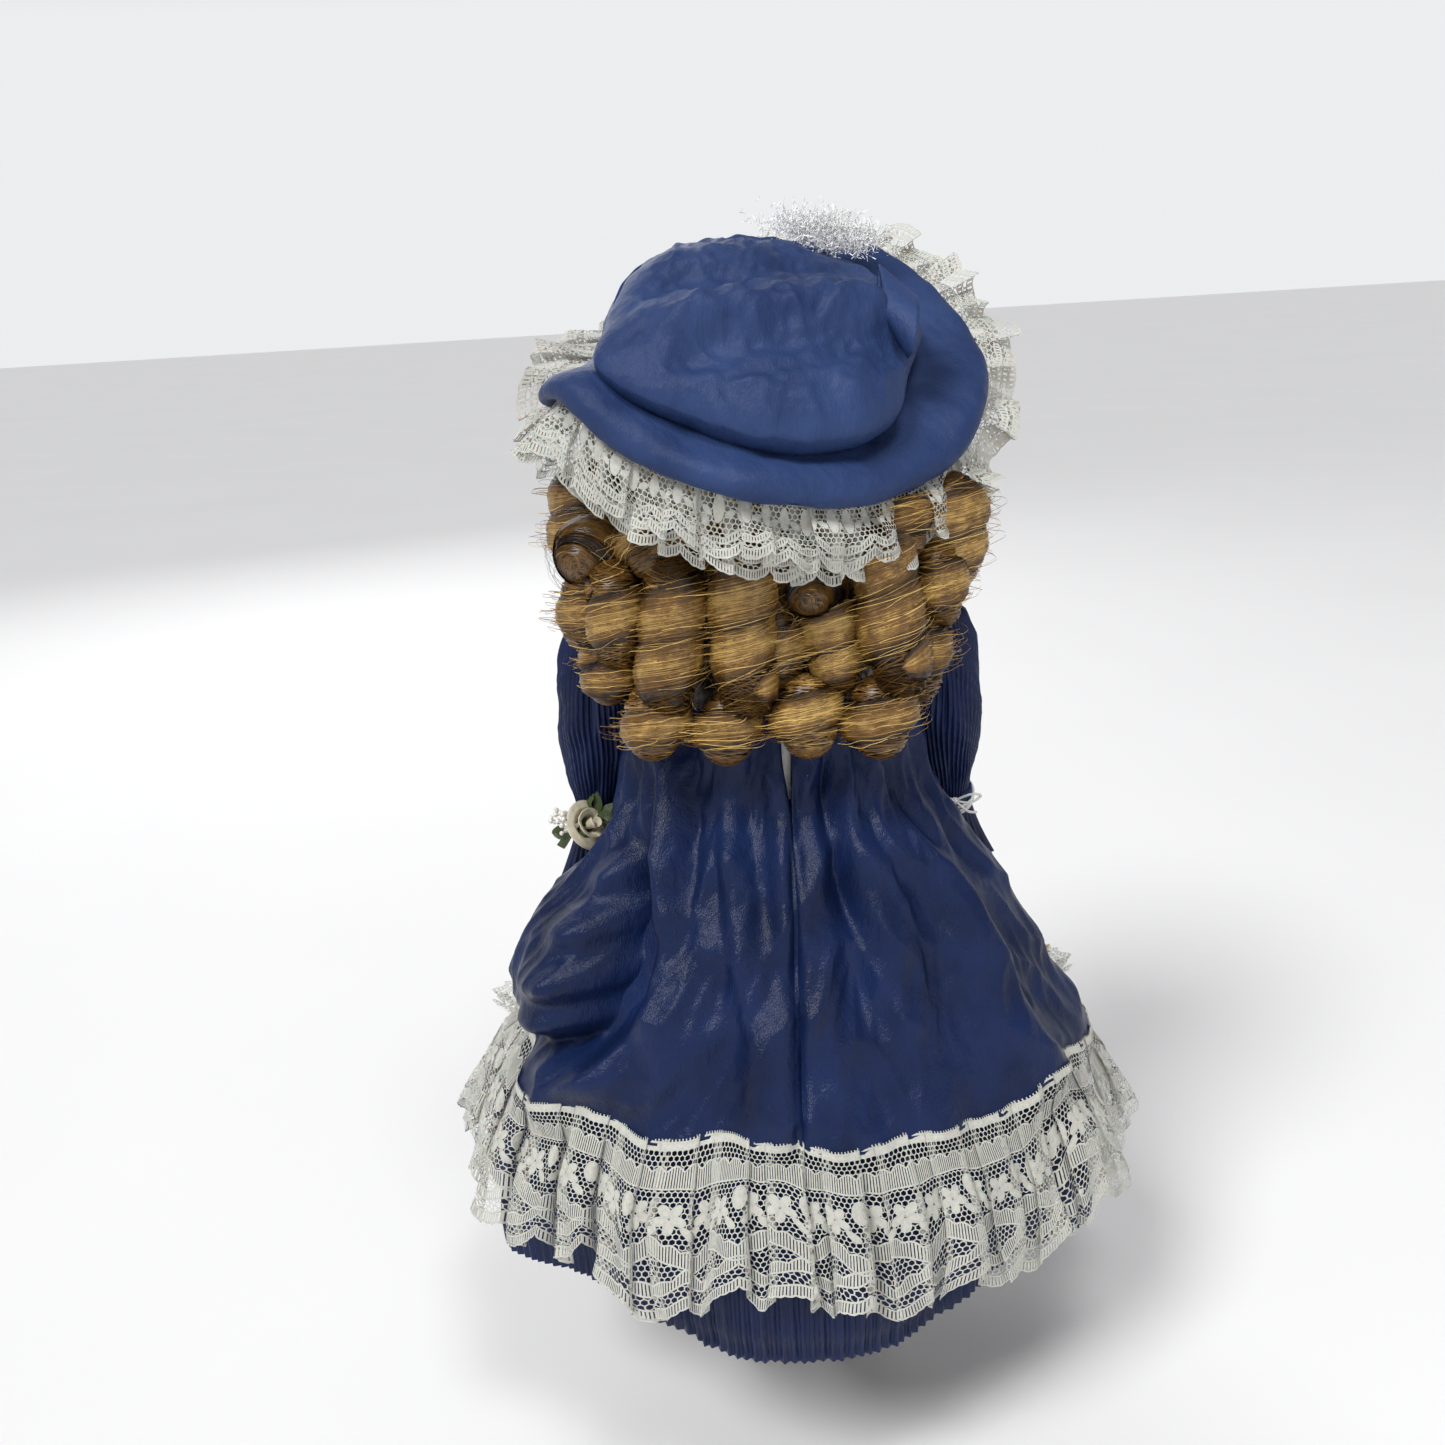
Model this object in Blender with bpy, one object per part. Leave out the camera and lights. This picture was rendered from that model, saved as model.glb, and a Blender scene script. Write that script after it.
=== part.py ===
"""A 16-inch porcelain doll in a navy satin dress, with jointed arms and legs and a hat that lifts off.

The doll stands on its soles at z = 0 and faces -Y, so its left side is at +X. Tables of sections are
in millimetres, and MM turns them into metres.
"""

import math

import bmesh
import bpy
from mathutils import Matrix, Vector

MM = 0.001
GAP = 0.4  # clearance between touching pieces

# Driving dimensions, in millimetres.
SHOULDER = (50.0, 0.0, 271.0)
ELBOW = (61.0, -14.0, 211.0)
HIP = (15.5, 3.0, 152.0)
KNEE_Z = 88.0
WAIST_Z = 236.0
OVERSKIRT_HEM_Z = 133.0
LACE_HEM_Z = 84.0
UNDERSKIRT_HEM_Z = 68.0
SKULL_CENTRE = (0.0, 2.0, 345.0)
SKULL_RADII = (32.5, 36.0, 41.0)
HEAD_WALL = 3.2
WIG_LIFT = 3.1
WIG_THICKNESS = 2.5
EYE = (12.3, -28.5, 341.0)
EYE_RADIUS = 5.6
HAT_CENTRE = (-1.5, 13.5, 372.7)
HAT_TILT_BACK = math.radians(35.5)
HAT_TILT_SIDE = math.radians(-14.8)
BRIM_RADIUS = 72.5
BRIM_HOLE = 42.5
# How far the brim hangs, in degrees, by the angle from its low back edge towards the doll's left.
BRIM_DROOP = [
    (-180, 42), (-165, 25), (-150, 10), (-140, 0), (55, 0), (62, 8), (70, 38), (80, 75), (95, 88), (110, 88),
    (125, 82), (140, 76), (155, 58), (165, 50), (180, 42),
]
CROWN_RADIUS = 47.0
CROWN_HEIGHT = 29.0
CROWN_SAG = 0.24
FOREARM_SLOPE = (0.02, -0.45, -0.893)
CUFF_SLOPE = (0.08, -0.36, -0.93)

# Skirt sections: height, half width, half depth, centre y of the overskirt's outer face.
SKIRT = [
    (236, 45.0, 32, 3), (225, 48, 36, 4), (215, 54, 42, 6), (205, 60, 47, 6), (197, 66, 51, 6),
    (180, 75, 60, 5), (161, 85, 70, 4), (145, 94, 79, 2), (132, 101, 86, 1), (112, 110, 93, 0),
    (90, 116, 99, 0), (68, 114, 99, 0),
]
# The arms press the skirt in beside the cuffs.
DENT = 0.27
# The skirts share these levels and this angle between points, so that their gap stays even.
LEVELS = (224, 212, 200, 188, 176, 162, 148, OVERSKIRT_HEM_Z, 110, LACE_HEM_Z)
ANGLE_STEP = math.radians(12)

# Body sections: height, half width, half depth, centre y.
TORSO = [
    (166, 27, 20, 2), (176, 30, 23, 2), (190, 29, 21, 1), (208, 25, 18, 1), (226, 27, 19, 0),
    (244, 31, 20, 0), (256, 33, 18, 0), (261.8, 29, 14, 0),
]
SHOULDER_PLATE = [
    (262.4, 36, 21, 0), (270, 38, 21.5, 0), (278, 34, 18.5, 0), (284, 24, 15, 0), (289, 14, 12.5, 1),
    (296, 11.2, 11, 2), (301, 11.5, 12, 1), (304, 15, 17, -6), (308, 19.5, 22.5, -5), (313, 23, 26.5, -3),
    (318, 26, 29, -1.5), (323, 28, 31, -0.5), (328, 29.8, 32.6, 0), (333, 31.2, 34, 0.8),
    (339, 32.2, 35.4, 1.6), (345, 32.5, 36, 2),
]
HEAD_HOLLOW = [
    (262.4, 33, 18, 0), (270, 34.5, 18, 0), (276, 30, 15, 0), (281, 20, 11.5, 0), (287, 10, 9, 1),
    (296, 8, 7.8, 2), (303, 8.2, 8.6, 1), (307.5, 12, 14, -5), (312, 16.5, 19.5, -4.5),
    (318, 22.5, 25.5, -1.8), (328, 26.4, 29.2, 0), (339, 28.8, 32, 1.6),
]
BODICE = [
    (236.5, 45, 32, 3), (250, 42.5, 29, 2), (262, 42, 27.5, 1), (272, 42.5, 26.5, 0), (279, 41, 25, 0),
    (283, 37, 22.5, 0),
]
COLLAR = [(291, 15.8, 14.4, 1.5), (289.5, 22, 18, 1), (287.8, 29, 22, 0), (286.4, 35, 25, 0)]

# Face relief: side offset, height, half width, half height, depth outward.
FACE = [
    (0, 327.5, 3.2, 4.2, 5.0), (0, 335, 2.8, 8, 2.2), (0, 350, 16, 6, 1.0), (0, 318.5, 5.5, 2.2, 2.2),
    (0, 308.5, 7, 4.5, 3.0), (14.5, 325, 9, 8, 1.8), (-14.5, 325, 9, 8, 1.8),
    (12.3, 341, 6, 4.5, -2.2), (-12.3, 341, 6, 4.5, -2.2),
]

# Ringlets: name, top x, top y, bottom x, bottom y, top z, bottom z, radius.
RINGLETS = [
    ("back_ringlet_1", 47, 41, 50, 43, 316, 276, 8.6), ("back_ringlet_2", 27, 44, 37, 46, 314, 259, 8.6),
    ("back_ringlet_3", 8, 46, 16, 47, 315, 254, 8.8), ("back_ringlet_4", -11, 46, -6, 47, 312, 252, 9.0),
    ("back_ringlet_5", -30, 45, -27, 46, 315, 251, 8.8), ("back_ringlet_6", -49, 41, -50, 42, 319, 286, 8.6),
    ("side_ringlet_left", 52, 22, 53, 24, 292, 272, 7.0),
    ("side_ringlet_right", -52, 22, -53, 24, 292, 274, 7.0),
    ("side_puff_left", 51, 10, 51, 10, 337, 296, 13.0),
    ("side_puff_right", -51, 10, -51, 10, 339, 296, 13.0),
    ("face_ringlet_left", 41, -17, 41, -17, 332, 292, 6.4),
    ("face_ringlet_right", -41, -17, -41, -17, 332, 292, 6.4),
]

# Sleeve and limb sections: height, centre x, centre y, half width, half depth.
SLEEVE = [
    (283, 56, 0.5, 5.5, 6.5), (278.5, 56.5, 0, 9.3, 11), (266, 57.3, -1.5, 10.3, 12.5),
    (250, 57.8, -5, 10.6, 12.8), (236, 58.6, -9, 11.0, 12.5), (227, 59.6, -11.5, 9.6, 10.5),
    (221.5, 60.4, -12.8, 7.6, 8),
]
UPPER_ARM = [
    (276, 56.3, 0, 5, 5.5), (270, 57, -1, 6.6, 7.4), (245, 58.2, -6, 6.3, 7), (221, 60.4, -12.8, 5.6, 6),
]
THIGH = [(140, 12.2), (125, 12.0), (105, 11.0), (KNEE_Z + 2, 9.4)]
LOWER_LEG = [
    (0, 9.3, 19.5, -7), (3, 10, 20.5, -7.5), (8, 9.6, 18, -6), (13, 8, 12.5, -2.5), (19, 6.6, 8, 0),
    (28, 6.2, 6.8, 0.5),
    (45, 7.6, 8.4, 1), (62, 8.9, 9.8, 1), (76, 8.3, 9, 0.5), (KNEE_Z, 8.6, 9, 0),
]


def smooth(t):
    """0 below 0, 1 above 1, with a soft step between."""
    t = min(max(t, 0.0), 1.0)
    return t * t * (3 - 2 * t)


def section(table, z):
    """The table's values at height z. Its heights rise or fall steadily."""
    rows = sorted(table)
    for low, high in zip(rows, rows[1:]):
        if z <= high[0] or high is rows[-1]:
            t = (z - low[0]) / (high[0] - low[0])
            return [a + (b - a) * t for a, b in zip(low[1:], high[1:])]


def ellipse(z, half_width, half_depth, y=0.0, x=0.0, count=24):
    """A level ring of points that starts at the back."""
    turns = [2 * math.pi * i / count for i in range(count)]
    return [Vector((x + half_width * math.sin(t), y + half_depth * math.cos(t), z)) for t in turns]


def skirt_point(angle, z, lift):
    """A point on the skirt at an angle from the back, lifted off the overskirt's outer face."""
    half_width, half_depth, centre = section(SKIRT, z)
    x = (half_width + lift) * math.sin(angle)
    y = centre + (half_depth + lift) * math.cos(angle)
    beside_arm = smooth((16 - y) / 28) * smooth((224 - z) / 12) * smooth((z - 136) / 24)
    return Vector((x * (1 - DENT * beside_arm), y, z))


def material(name, colour, roughness, metallic=0.0):
    """A plain Principled material."""
    made = bpy.data.materials.get(name)
    if made is None:
        made = bpy.data.materials.new(name)
        made.use_nodes = True
        shader = made.node_tree.nodes["Principled BSDF"]
        shader.inputs["Base Color"].default_value = (*colour, 1)
        shader.inputs["Roughness"].default_value = roughness
        shader.inputs["Metallic"].default_value = metallic
    return made


def bisque():
    return material("bisque_porcelain", (0.86, 0.66, 0.56), 0.42)


def shoe_glaze():
    return material("glazed_porcelain", (0.80, 0.74, 0.68), 0.2)


def eye_glass():
    return material("eye_glass", (0.10, 0.22, 0.42), 0.08)


def hair():
    return material("golden_hair", (0.62, 0.42, 0.19), 0.55)


def satin():
    return material("navy_satin", (0.035, 0.055, 0.17), 0.38)


def lace():
    return material("ivory_lace", (0.80, 0.75, 0.66), 0.8)


def muslin():
    return material("cream_muslin", (0.78, 0.70, 0.58), 0.85)


def ribbon():
    return material("olive_ribbon", (0.20, 0.22, 0.10), 0.5)


def rose():
    return material("cream_rose_satin", (0.85, 0.76, 0.62), 0.45)


def pearl():
    return material("pearl", (0.88, 0.84, 0.77), 0.22)


def plume():
    return material("white_tulle", (0.88, 0.87, 0.84), 0.85)


def white_cord():
    return material("white_cord", (0.85, 0.84, 0.80), 0.7)


def hinge_axis(name, place):
    """An empty on a joint's axis, which carries the pieces that move with it."""
    empty = bpy.data.objects.new(name, None)
    empty.location = Vector(place) * MM
    empty.empty_display_size = 0.02
    bpy.context.scene.collection.objects.link(empty)
    return empty


def finish(name, bm, paint, pivot=None):
    """Turns a bmesh in millimetres into a named object, with its origin at its pivot."""
    bmesh.ops.recalc_face_normals(bm, faces=bm.faces)
    bm.transform(Matrix.Scale(MM, 4))
    if pivot is not None:
        bm.transform(Matrix.Translation(-pivot.matrix_world.translation))
    mesh = bpy.data.meshes.new(name)
    bm.to_mesh(mesh)
    bm.free()
    mesh.materials.append(paint)
    mesh.shade_smooth()
    mesh.set_sharp_from_angle(angle=math.radians(40))
    obj = bpy.data.objects.new(name, mesh)
    bpy.context.scene.collection.objects.link(obj)
    obj.parent = pivot
    return obj


def bridge(bm, first, second):
    """Quads between two closed rings of vertices."""
    count = len(first)
    for i in range(count):
        after = (i + 1) % count
        bm.faces.new((first[i], first[after], second[after], second[i]))


def rings_of(bm, rings):
    return [[bm.verts.new(point) for point in ring] for ring in rings]


def loft(name, rings, paint, pivot=None, tips=(False, False)):
    """A solid through closed rings. An end gets a flat cap, or a point where tips says so."""
    bm = bmesh.new()
    made = rings_of(bm, rings)
    for first, second in zip(made, made[1:]):
        bridge(bm, first, second)
    for ring, tip in ((made[0], tips[0]), (made[-1], tips[1])):
        if not tip:
            bm.faces.new(ring)
            continue
        top = bm.verts.new(sum((v.co for v in ring), Vector()) / len(ring))
        for i in range(len(ring)):
            bm.faces.new((ring[i], ring[(i + 1) % len(ring)], top))
    return finish(name, bm, paint, pivot)


def tube_shell(name, outer, inner, paint, pivot=None):
    """A thin wall between two stacks of closed rings, open at both ends."""
    bm = bmesh.new()
    made = rings_of(bm, outer + inner[::-1])
    for first, second in zip(made, made[1:] + made[:1]):
        bridge(bm, first, second)
    return finish(name, bm, paint, pivot)


def cup_shell(name, outer, inner, paint, pivot=None):
    """A thin wall between two stacks of rings that is closed at its first rings and open at its last."""
    bm = bmesh.new()
    made = rings_of(bm, outer + inner[::-1])
    for first, second in zip(made, made[1:]):
        bridge(bm, first, second)
    bm.faces.new(made[0])
    bm.faces.new(made[-1])
    return finish(name, bm, paint, pivot)


def sheet(name, outer, inner, paint, pivot=None):
    """A thin sheet between two open grids of points with the same rows."""
    bm = bmesh.new()
    rows = [
        [bm.verts.new(point) for point in front + back[::-1]] for front, back in zip(outer, inner)
    ]
    for first, second in zip(rows, rows[1:]):
        bridge(bm, first, second)
    width = len(outer[0])
    for row in (rows[0], rows[-1]):
        for i in range(width - 1):
            bm.faces.new((row[i], row[i + 1], row[-2 - i], row[-1 - i]))
    return finish(name, bm, paint, pivot)


def ball(name, centre, radii, paint, pivot=None, turns=12, rings=8):
    """An ellipsoid."""
    bm = bmesh.new()
    bmesh.ops.create_uvsphere(bm, u_segments=turns, v_segments=rings, radius=1)
    bm.transform(Matrix.Translation(Vector(centre)) @ Matrix.Diagonal((*radii, 1)))
    return finish(name, bm, paint, pivot)


def along(start, direction, rows, count=14):
    """Rings of a limb that runs from a point along a direction. Rows: distance, half width, half depth."""
    turn = Vector(direction).to_track_quat("-Z", "Y").to_matrix().to_4x4()
    place = Matrix.Translation(Vector(start)) @ turn
    return [[place @ point for point in ellipse(-far, wide, deep, count=count)] for far, wide, deep in rows]


def crown_rows(table, wall, steps):
    """A table of the head's sections from the shoulders up, with the domed crown added, top first."""
    rows = list(table)
    for i in range(1, steps + 1):
        tilt = math.radians(90 * i / (steps + 1))
        wide, deep, tall = [radius - wall for radius in SKULL_RADII]
        rows.append((
            SKULL_CENTRE[2] + tall * math.sin(tilt), wide * math.cos(tilt), deep * math.cos(tilt),
            SKULL_CENTRE[1],
        ))
    return rows[::-1]


def head():
    """Head, neck and shoulder plate: one hollow casting, open below, with openings for the eyes."""
    rings = []
    for z, half_width, half_depth, centre in crown_rows(SHOULDER_PLATE, 0, 9):
        ring = ellipse(z, half_width, half_depth, centre, count=30)
        for point in ring:
            front = smooth((centre - point.y) / half_depth * 2)
            for x, height, wide, tall, depth in FACE:
                fall = ((point.x - x) / wide) ** 2 + ((z - height) / tall) ** 2
                point.y -= front * depth * math.exp(-fall)
        rings.append(ring)
    hollow = [ellipse(*row, count=30) for row in crown_rows(HEAD_HOLLOW, HEAD_WALL, 5)]
    made = cup_shell("shoulder_head", rings, hollow, bisque())
    for side, sign in (("left", 1), ("right", -1)):
        centre = (sign * EYE[0], EYE[1], EYE[2])
        socket = ball("eye_socket_" + side, centre, [EYE_RADIUS + GAP] * 3, bisque())
        socket.hide_render = True
        socket.display_type = "WIRE"
        cut = made.modifiers.new("eye_socket_" + side, "BOOLEAN")
        cut.operation = "DIFFERENCE"
        cut.object = socket
        ball("eye_" + side, centre, [EYE_RADIUS] * 3, eye_glass())


def wig_cap():
    """The hair over the skull, open at the face."""
    count = 24
    steps = 7
    stacks = []
    for lift in (WIG_LIFT + WIG_THICKNESS, WIG_LIFT):
        stack = []
        for step in range(1, steps + 1):
            ring = []
            for i in range(count):
                angle = 2 * math.pi * i / count
                away = abs(math.remainder(angle, 2 * math.pi))
                lowest = math.radians(116) - math.radians(66) * smooth((away - 1.75) / 0.65)
                tilt = lowest * step / steps
                radii = [radius + lift for radius in SKULL_RADII]
                ring.append(Vector(SKULL_CENTRE) + Vector((
                    radii[0] * math.sin(tilt) * math.sin(angle),
                    radii[1] * math.sin(tilt) * math.cos(angle),
                    radii[2] * math.cos(tilt),
                )))
            stack.append(ring)
        stacks.append(stack)
    cup_shell("wig_cap", stacks[0], stacks[1], hair())


def ringlets():
    """Sausage curls as tapered rolls."""
    for name, top_x, top_y, low_x, low_y, top_z, low_z, radius in RINGLETS:
        rings = []
        for i in range(1, 9):
            t = i / 9
            wide = radius * math.sin(math.pi * t) ** 0.4
            x = top_x + (low_x - top_x) * t
            y = top_y + (low_y - top_y) * t
            rings.append(ellipse(top_z + (low_z - top_z) * t, wide, wide, y, x, count=10))
        loft(name, rings, hair())


def torso_and_dress():
    """The stuffed body, the bodice, the collar and the skirts."""
    loft("torso", [ellipse(*row) for row in TORSO], muslin())
    outer = [ellipse(*row) for row in BODICE]
    inner = [ellipse(z, wide - 1.8, deep - 1.8, y) for z, wide, deep, y in BODICE]
    tube_shell("bodice", outer, inner, satin())
    outer = [ellipse(*row) for row in COLLAR]
    inner = [ellipse(z - 1, wide, deep, y) for z, wide, deep, y in COLLAR]
    tube_shell("collar_lace", outer, inner, lace())

    def bell(name, top, low, lift, wall, paint):
        heights = [top] + [z for z in LEVELS if low < z < top] + [low]
        turns = [ANGLE_STEP * i for i in range(round(2 * math.pi / ANGLE_STEP))]
        outside = [[skirt_point(angle, z, lift) for angle in turns] for z in heights]
        inside = [[skirt_point(angle, z, lift - wall) for angle in turns] for z in heights]
        tube_shell(name, outside, inside, paint)

    bell("underskirt", WAIST_Z - 2, UNDERSKIRT_HEM_Z, -7.0, 1.4, satin())
    bell("hem_lace", OVERSKIRT_HEM_Z - 1, LACE_HEM_Z, 2.0, 1.2, lace())


def front_edge(z):
    """The angle from the back at which the overskirt's front edge lies."""
    return math.radians(98 + 54 * smooth((z - 184) / 56))


def overskirt():
    """The left and right panels, the strip that closes them and the lace down their front edges."""
    heights = [WAIST_Z - GAP] + [z for z in LEVELS if z >= OVERSKIRT_HEM_Z]
    for side, sign in (("left", 1), ("right", -1)):
        faces = []
        for lift in (0.0, -1.8):
            grid = []
            for z in heights:
                angles = [0.7 / section(SKIRT, z)[0]]
                angles += [ANGLE_STEP * i for i in range(1, 8)]
                angles += [ANGLE_STEP * 7 + (front_edge(z) - ANGLE_STEP * 7) * i / 4 for i in (1, 2, 3, 4)]
                grid.append([skirt_point(sign * angle, z, lift) for angle in angles])
            faces.append(grid)
        sheet("overskirt_" + side, faces[0], faces[1], satin())
        faces = []
        for lift in (3.0, 1.6):
            grid = []
            for z in heights:
                spread = 6.5 / section(SKIRT, z)[0]
                angles = [front_edge(z) + spread * i for i in (-1, 0, 1)]
                grid.append([skirt_point(sign * angle, z, lift) for angle in angles])
            faces.append(grid)
        sheet("front_lace_" + side, faces[0], faces[1], lace())
    faces = []
    for lift in (1.8, 0.6):
        rows = [WAIST_Z - 1 - 32 * i / 4 for i in range(5)]
        grid = [[skirt_point(side / section(SKIRT, z)[0], z, lift) for side in (-3.5, 0, 3.5)] for z in rows]
        faces.append(grid)
    sheet("closure_strip", faces[0], faces[1], white_cord())


def posies():
    """A satin rose with ribbon leaves at each hip."""
    for side, sign in (("left", 1), ("right", -1)):
        spot = skirt_point(sign * math.radians(84), 160, 0)
        ball("hip_rose_" + side, spot + Vector((sign * 6.2, 0, 0)), (5, 6, 6), rose())


def droop_at(turn):
    """How far the brim hangs from flat, where turn is the angle from its low back edge to the doll's left."""
    degrees = math.degrees(turn)
    for (first, low), (second, high) in zip(BRIM_DROOP, BRIM_DROOP[1:]):
        if degrees <= second:
            return math.radians(low + (high - low) * smooth((degrees - first) / (second - first)))
    return math.radians(BRIM_DROOP[-1][1])


def bent(point):
    """A point of the flat brim, hung from the brim's inner edge by the droop there."""
    radius = math.hypot(point[0], point[1])
    angle = droop_at(math.atan2(point[0], point[1]))
    low = max(point[2], -2) + min(point[2] + 2, 0) * (1 - 0.6 * math.sin(angle))
    out = radius - BRIM_HOLE
    hung = BRIM_HOLE + out * math.cos(angle) + low * math.sin(angle)
    scale = hung / radius
    return Vector((point[0] * scale, point[1] * scale, low * math.cos(angle) - out * math.sin(angle)))


def sagged(point):
    """A point of the round crown, drawn out over the brim at the back."""
    back = point[1] / max(math.hypot(point[0], point[1]), MM * MM)
    reach = 1 + CROWN_SAG * smooth(back + 0.2)
    return Vector((point[0] * reach, point[1] * reach, point[2]))


def hat():
    """Brim, crown, the lace under and over the brim, and a tulle plume, all on the hat's own axis."""
    axis = Vector((
        math.sin(HAT_TILT_SIDE), math.sin(HAT_TILT_BACK) * math.cos(HAT_TILT_SIDE),
        math.cos(HAT_TILT_BACK) * math.cos(HAT_TILT_SIDE),
    ))
    pivot = hinge_axis("hat_axis", HAT_CENTRE)
    left = (Vector((1, 0, 0)) - axis * axis.x).normalized()
    frame = Matrix((left, axis.cross(left), axis)).transposed().to_4x4()
    place = Matrix.Translation(Vector(HAT_CENTRE)) @ frame
    bpy.context.view_layer.update()

    def turned(profile, shape):
        return [[place @ shape(point) for point in ellipse(z, r, r, count=44)] for r, z in profile]

    upper_face = [(BRIM_HOLE, 1.6), (56, 2), (70, 1.6), (BRIM_RADIUS, 0)]
    under_face = [(BRIM_HOLE, -1.6), (56, -1.4), (70, -1.6), (BRIM_RADIUS - 0.6, -0.8)]
    tube_shell("hat_brim", turned(upper_face, bent), turned(under_face, bent), satin(), pivot)
    domed = [(0.25, 1.0), (0.6, 0.93), (0.85, 0.76), (1.0, 0.48), (1.0, 0.26), (0.965, 0.1)]
    outer = [(CROWN_RADIUS * r, CROWN_HEIGHT * z) for r, z in domed]
    inner = [(CROWN_RADIUS * r - 1.8 * min(1, r * 1.2), CROWN_HEIGHT * z - 1.8 * (z > 0.6)) for r, z in domed]
    cup_shell("hat_crown", turned(outer, sagged), turned(inner, sagged), satin(), pivot)
    tube_shell("hat_lace_under", turned([(60, -2.6), (68, -5), (74, -15)], bent),
               turned([(60, -3.6), (67, -6), (73, -16)], bent), lace(), pivot)
    tube_shell("hat_lace_edge", turned([(73.2, 2.6), (77, 4), (81, 4)], bent),
               turned([(73.2, 1.6), (77, 3), (81, 3)], bent), lace(), pivot)
    spot = place @ Vector((-22, -32, CROWN_HEIGHT + 4))
    ball("hat_plume", spot, (15, 9, 7), plume(), pivot)


def arm(side, sign):
    """Cloth upper arm in a puffed sleeve, and a porcelain forearm with band and gathered cuff."""
    shoulder = hinge_axis(side + "_shoulder_axis", (sign * SHOULDER[0], SHOULDER[1], SHOULDER[2]))
    elbow = hinge_axis(side + "_elbow_axis", (sign * ELBOW[0], ELBOW[1], ELBOW[2]))
    bpy.context.view_layer.update()

    def stack(rows, wall=0.0):
        return [
            ellipse(z, wide - wall, deep - wall, y, sign * x, count=16) for z, x, y, wide, deep in rows
        ]

    lower = [(row[0] - (1.5 if i == 0 else 0), *row[1:]) for i, row in enumerate(SLEEVE)]
    cup_shell(side + "_sleeve", stack(SLEEVE), stack(lower, 1.4), satin(), shoulder)
    loft(side + "_upper_arm", stack(UPPER_ARM), muslin(), shoulder)

    start = (sign * ELBOW[0], ELBOW[1], ELBOW[2])
    slope = (sign * FOREARM_SLOPE[0], FOREARM_SLOPE[1], FOREARM_SLOPE[2])
    limb = [
        (-5.4, 3.0, 3.0), (-3.5, 5.2, 5.2), (0, 6.2, 6.2), (8, 6.0, 6.4), (20, 5.2, 5.6), (31, 4.1, 4.0),
        (36, 4.3, 3.3),
        (42, 5.6, 3.2), (49, 5.8, 2.8), (55, 4.6, 2.2), (59, 2.4, 1.4),
    ]
    loft(side + "_forearm", along(start, slope, limb), bisque(), elbow, tips=(True, True))
    band = [(-3.8, 7.6), (-2, 8.2), (2, 8.2), (3.8, 7.6)]
    outer = along(start, slope, [(far, r, r) for far, r in band], 16)
    inner = along(start, slope, [(far, 6.85, 6.85) for far, r in band], 16)
    tube_shell(side + "_elbow_band", outer, inner, satin(), elbow)
    hang = (sign * CUFF_SLOPE[0], CUFF_SLOPE[1], CUFF_SLOPE[2])
    flare = [(4.9, 8.6), (10, 9.4), (19, 11), (28, 12.6)]
    outer = along(start, hang, [(far, r, r) for far, r in flare], 16)
    inner = along(start, hang, [(far, r - 1, r - 1) for far, r in flare], 16)
    tube_shell(side + "_cuff", outer, inner, satin(), elbow)
    if side == "left":
        bouquet(elbow)
    else:
        ties = [(1.8, 9.4), (1.1, 10.2), (0.2, 9.4), (0.9, 8.6)]
        rings = along(start, slope, [(far, r, r) for far, r in ties], 16)
        bm = bmesh.new()
        made = rings_of(bm, rings)
        for first, second in zip(made, made[1:] + made[:1]):
            bridge(bm, first, second)
        finish("right_band_tie", bm, white_cord(), elbow)


def bouquet(elbow):
    """Rosebud, pearl spray and ribbon leaves on the back of the left elbow band."""
    spot = Vector(ELBOW) + Vector((2, 13.6, 0.5))
    ball("bouquet_rose", spot, (6, 4.8, 6), rose(), elbow)
    ball("bouquet_pearls", spot + Vector((12, -1.5, 1)), (4.5, 3, 5), pearl(), elbow, 10, 7)
    ball("bouquet_leaves", spot + Vector((-1, -1.8, -12)), (5, 2.2, 5), ribbon(), elbow, 10, 7)


def leg(side, sign):
    """Stuffed thigh in a bloomer leg, and a porcelain lower leg with its moulded shoe."""
    hip = hinge_axis(side + "_hip_axis", (sign * HIP[0], HIP[1], HIP[2]))
    bpy.context.view_layer.update()
    x, y, top = sign * HIP[0], HIP[1], HIP[2]
    rounded = []
    for i in range(1, 6):
        tilt = math.radians(18 * i)
        rounded.append((top + 12.2 * math.cos(tilt), 12.2 * math.sin(tilt)))
    rows = rounded + THIGH
    loft(side + "_thigh", [ellipse(z, r, r, y, x, 16) for z, r in rows], muslin(), hip, tips=(True, False))
    rows = [(138, 14.6), (115, 14.8), (92, 13.2), (76, 12.4)]
    outer = [ellipse(z, r, r, y, x, 16) for z, r in rows]
    inner = [ellipse(z, r - 1.2, r - 1.2, y, x, 16) for z, r in rows]
    tube_shell(side + "_bloomer_leg", outer, inner, lace(), hip)
    rings = [ellipse(z, wide, deep, y + centre, x, 18) for z, wide, deep, centre in LOWER_LEG]
    loft(side + "_lower_leg", rings, shoe_glaze(), hip)


def main():
    for obj in list(bpy.data.objects):
        bpy.data.objects.remove(obj)
    head()
    wig_cap()
    ringlets()
    torso_and_dress()
    overskirt()
    posies()
    hat()
    for side, sign in (("left", 1), ("right", -1)):
        arm(side, sign)
        leg(side, sign)
    bpy.context.view_layer.update()


main()
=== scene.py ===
"""The looks of the porcelain doll: its dress, lace, hair, hat, face and hands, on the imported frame.

Lengths in this script are in millimetres, in the frame's axes: +Z up, the doll faces -Y and its left
side is at +X. mesh_object() turns them into metres. The skirt's sections follow the frame's nodes.
"""

import math

import bpy
import numpy as np
from mathutils import Matrix, Vector


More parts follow.
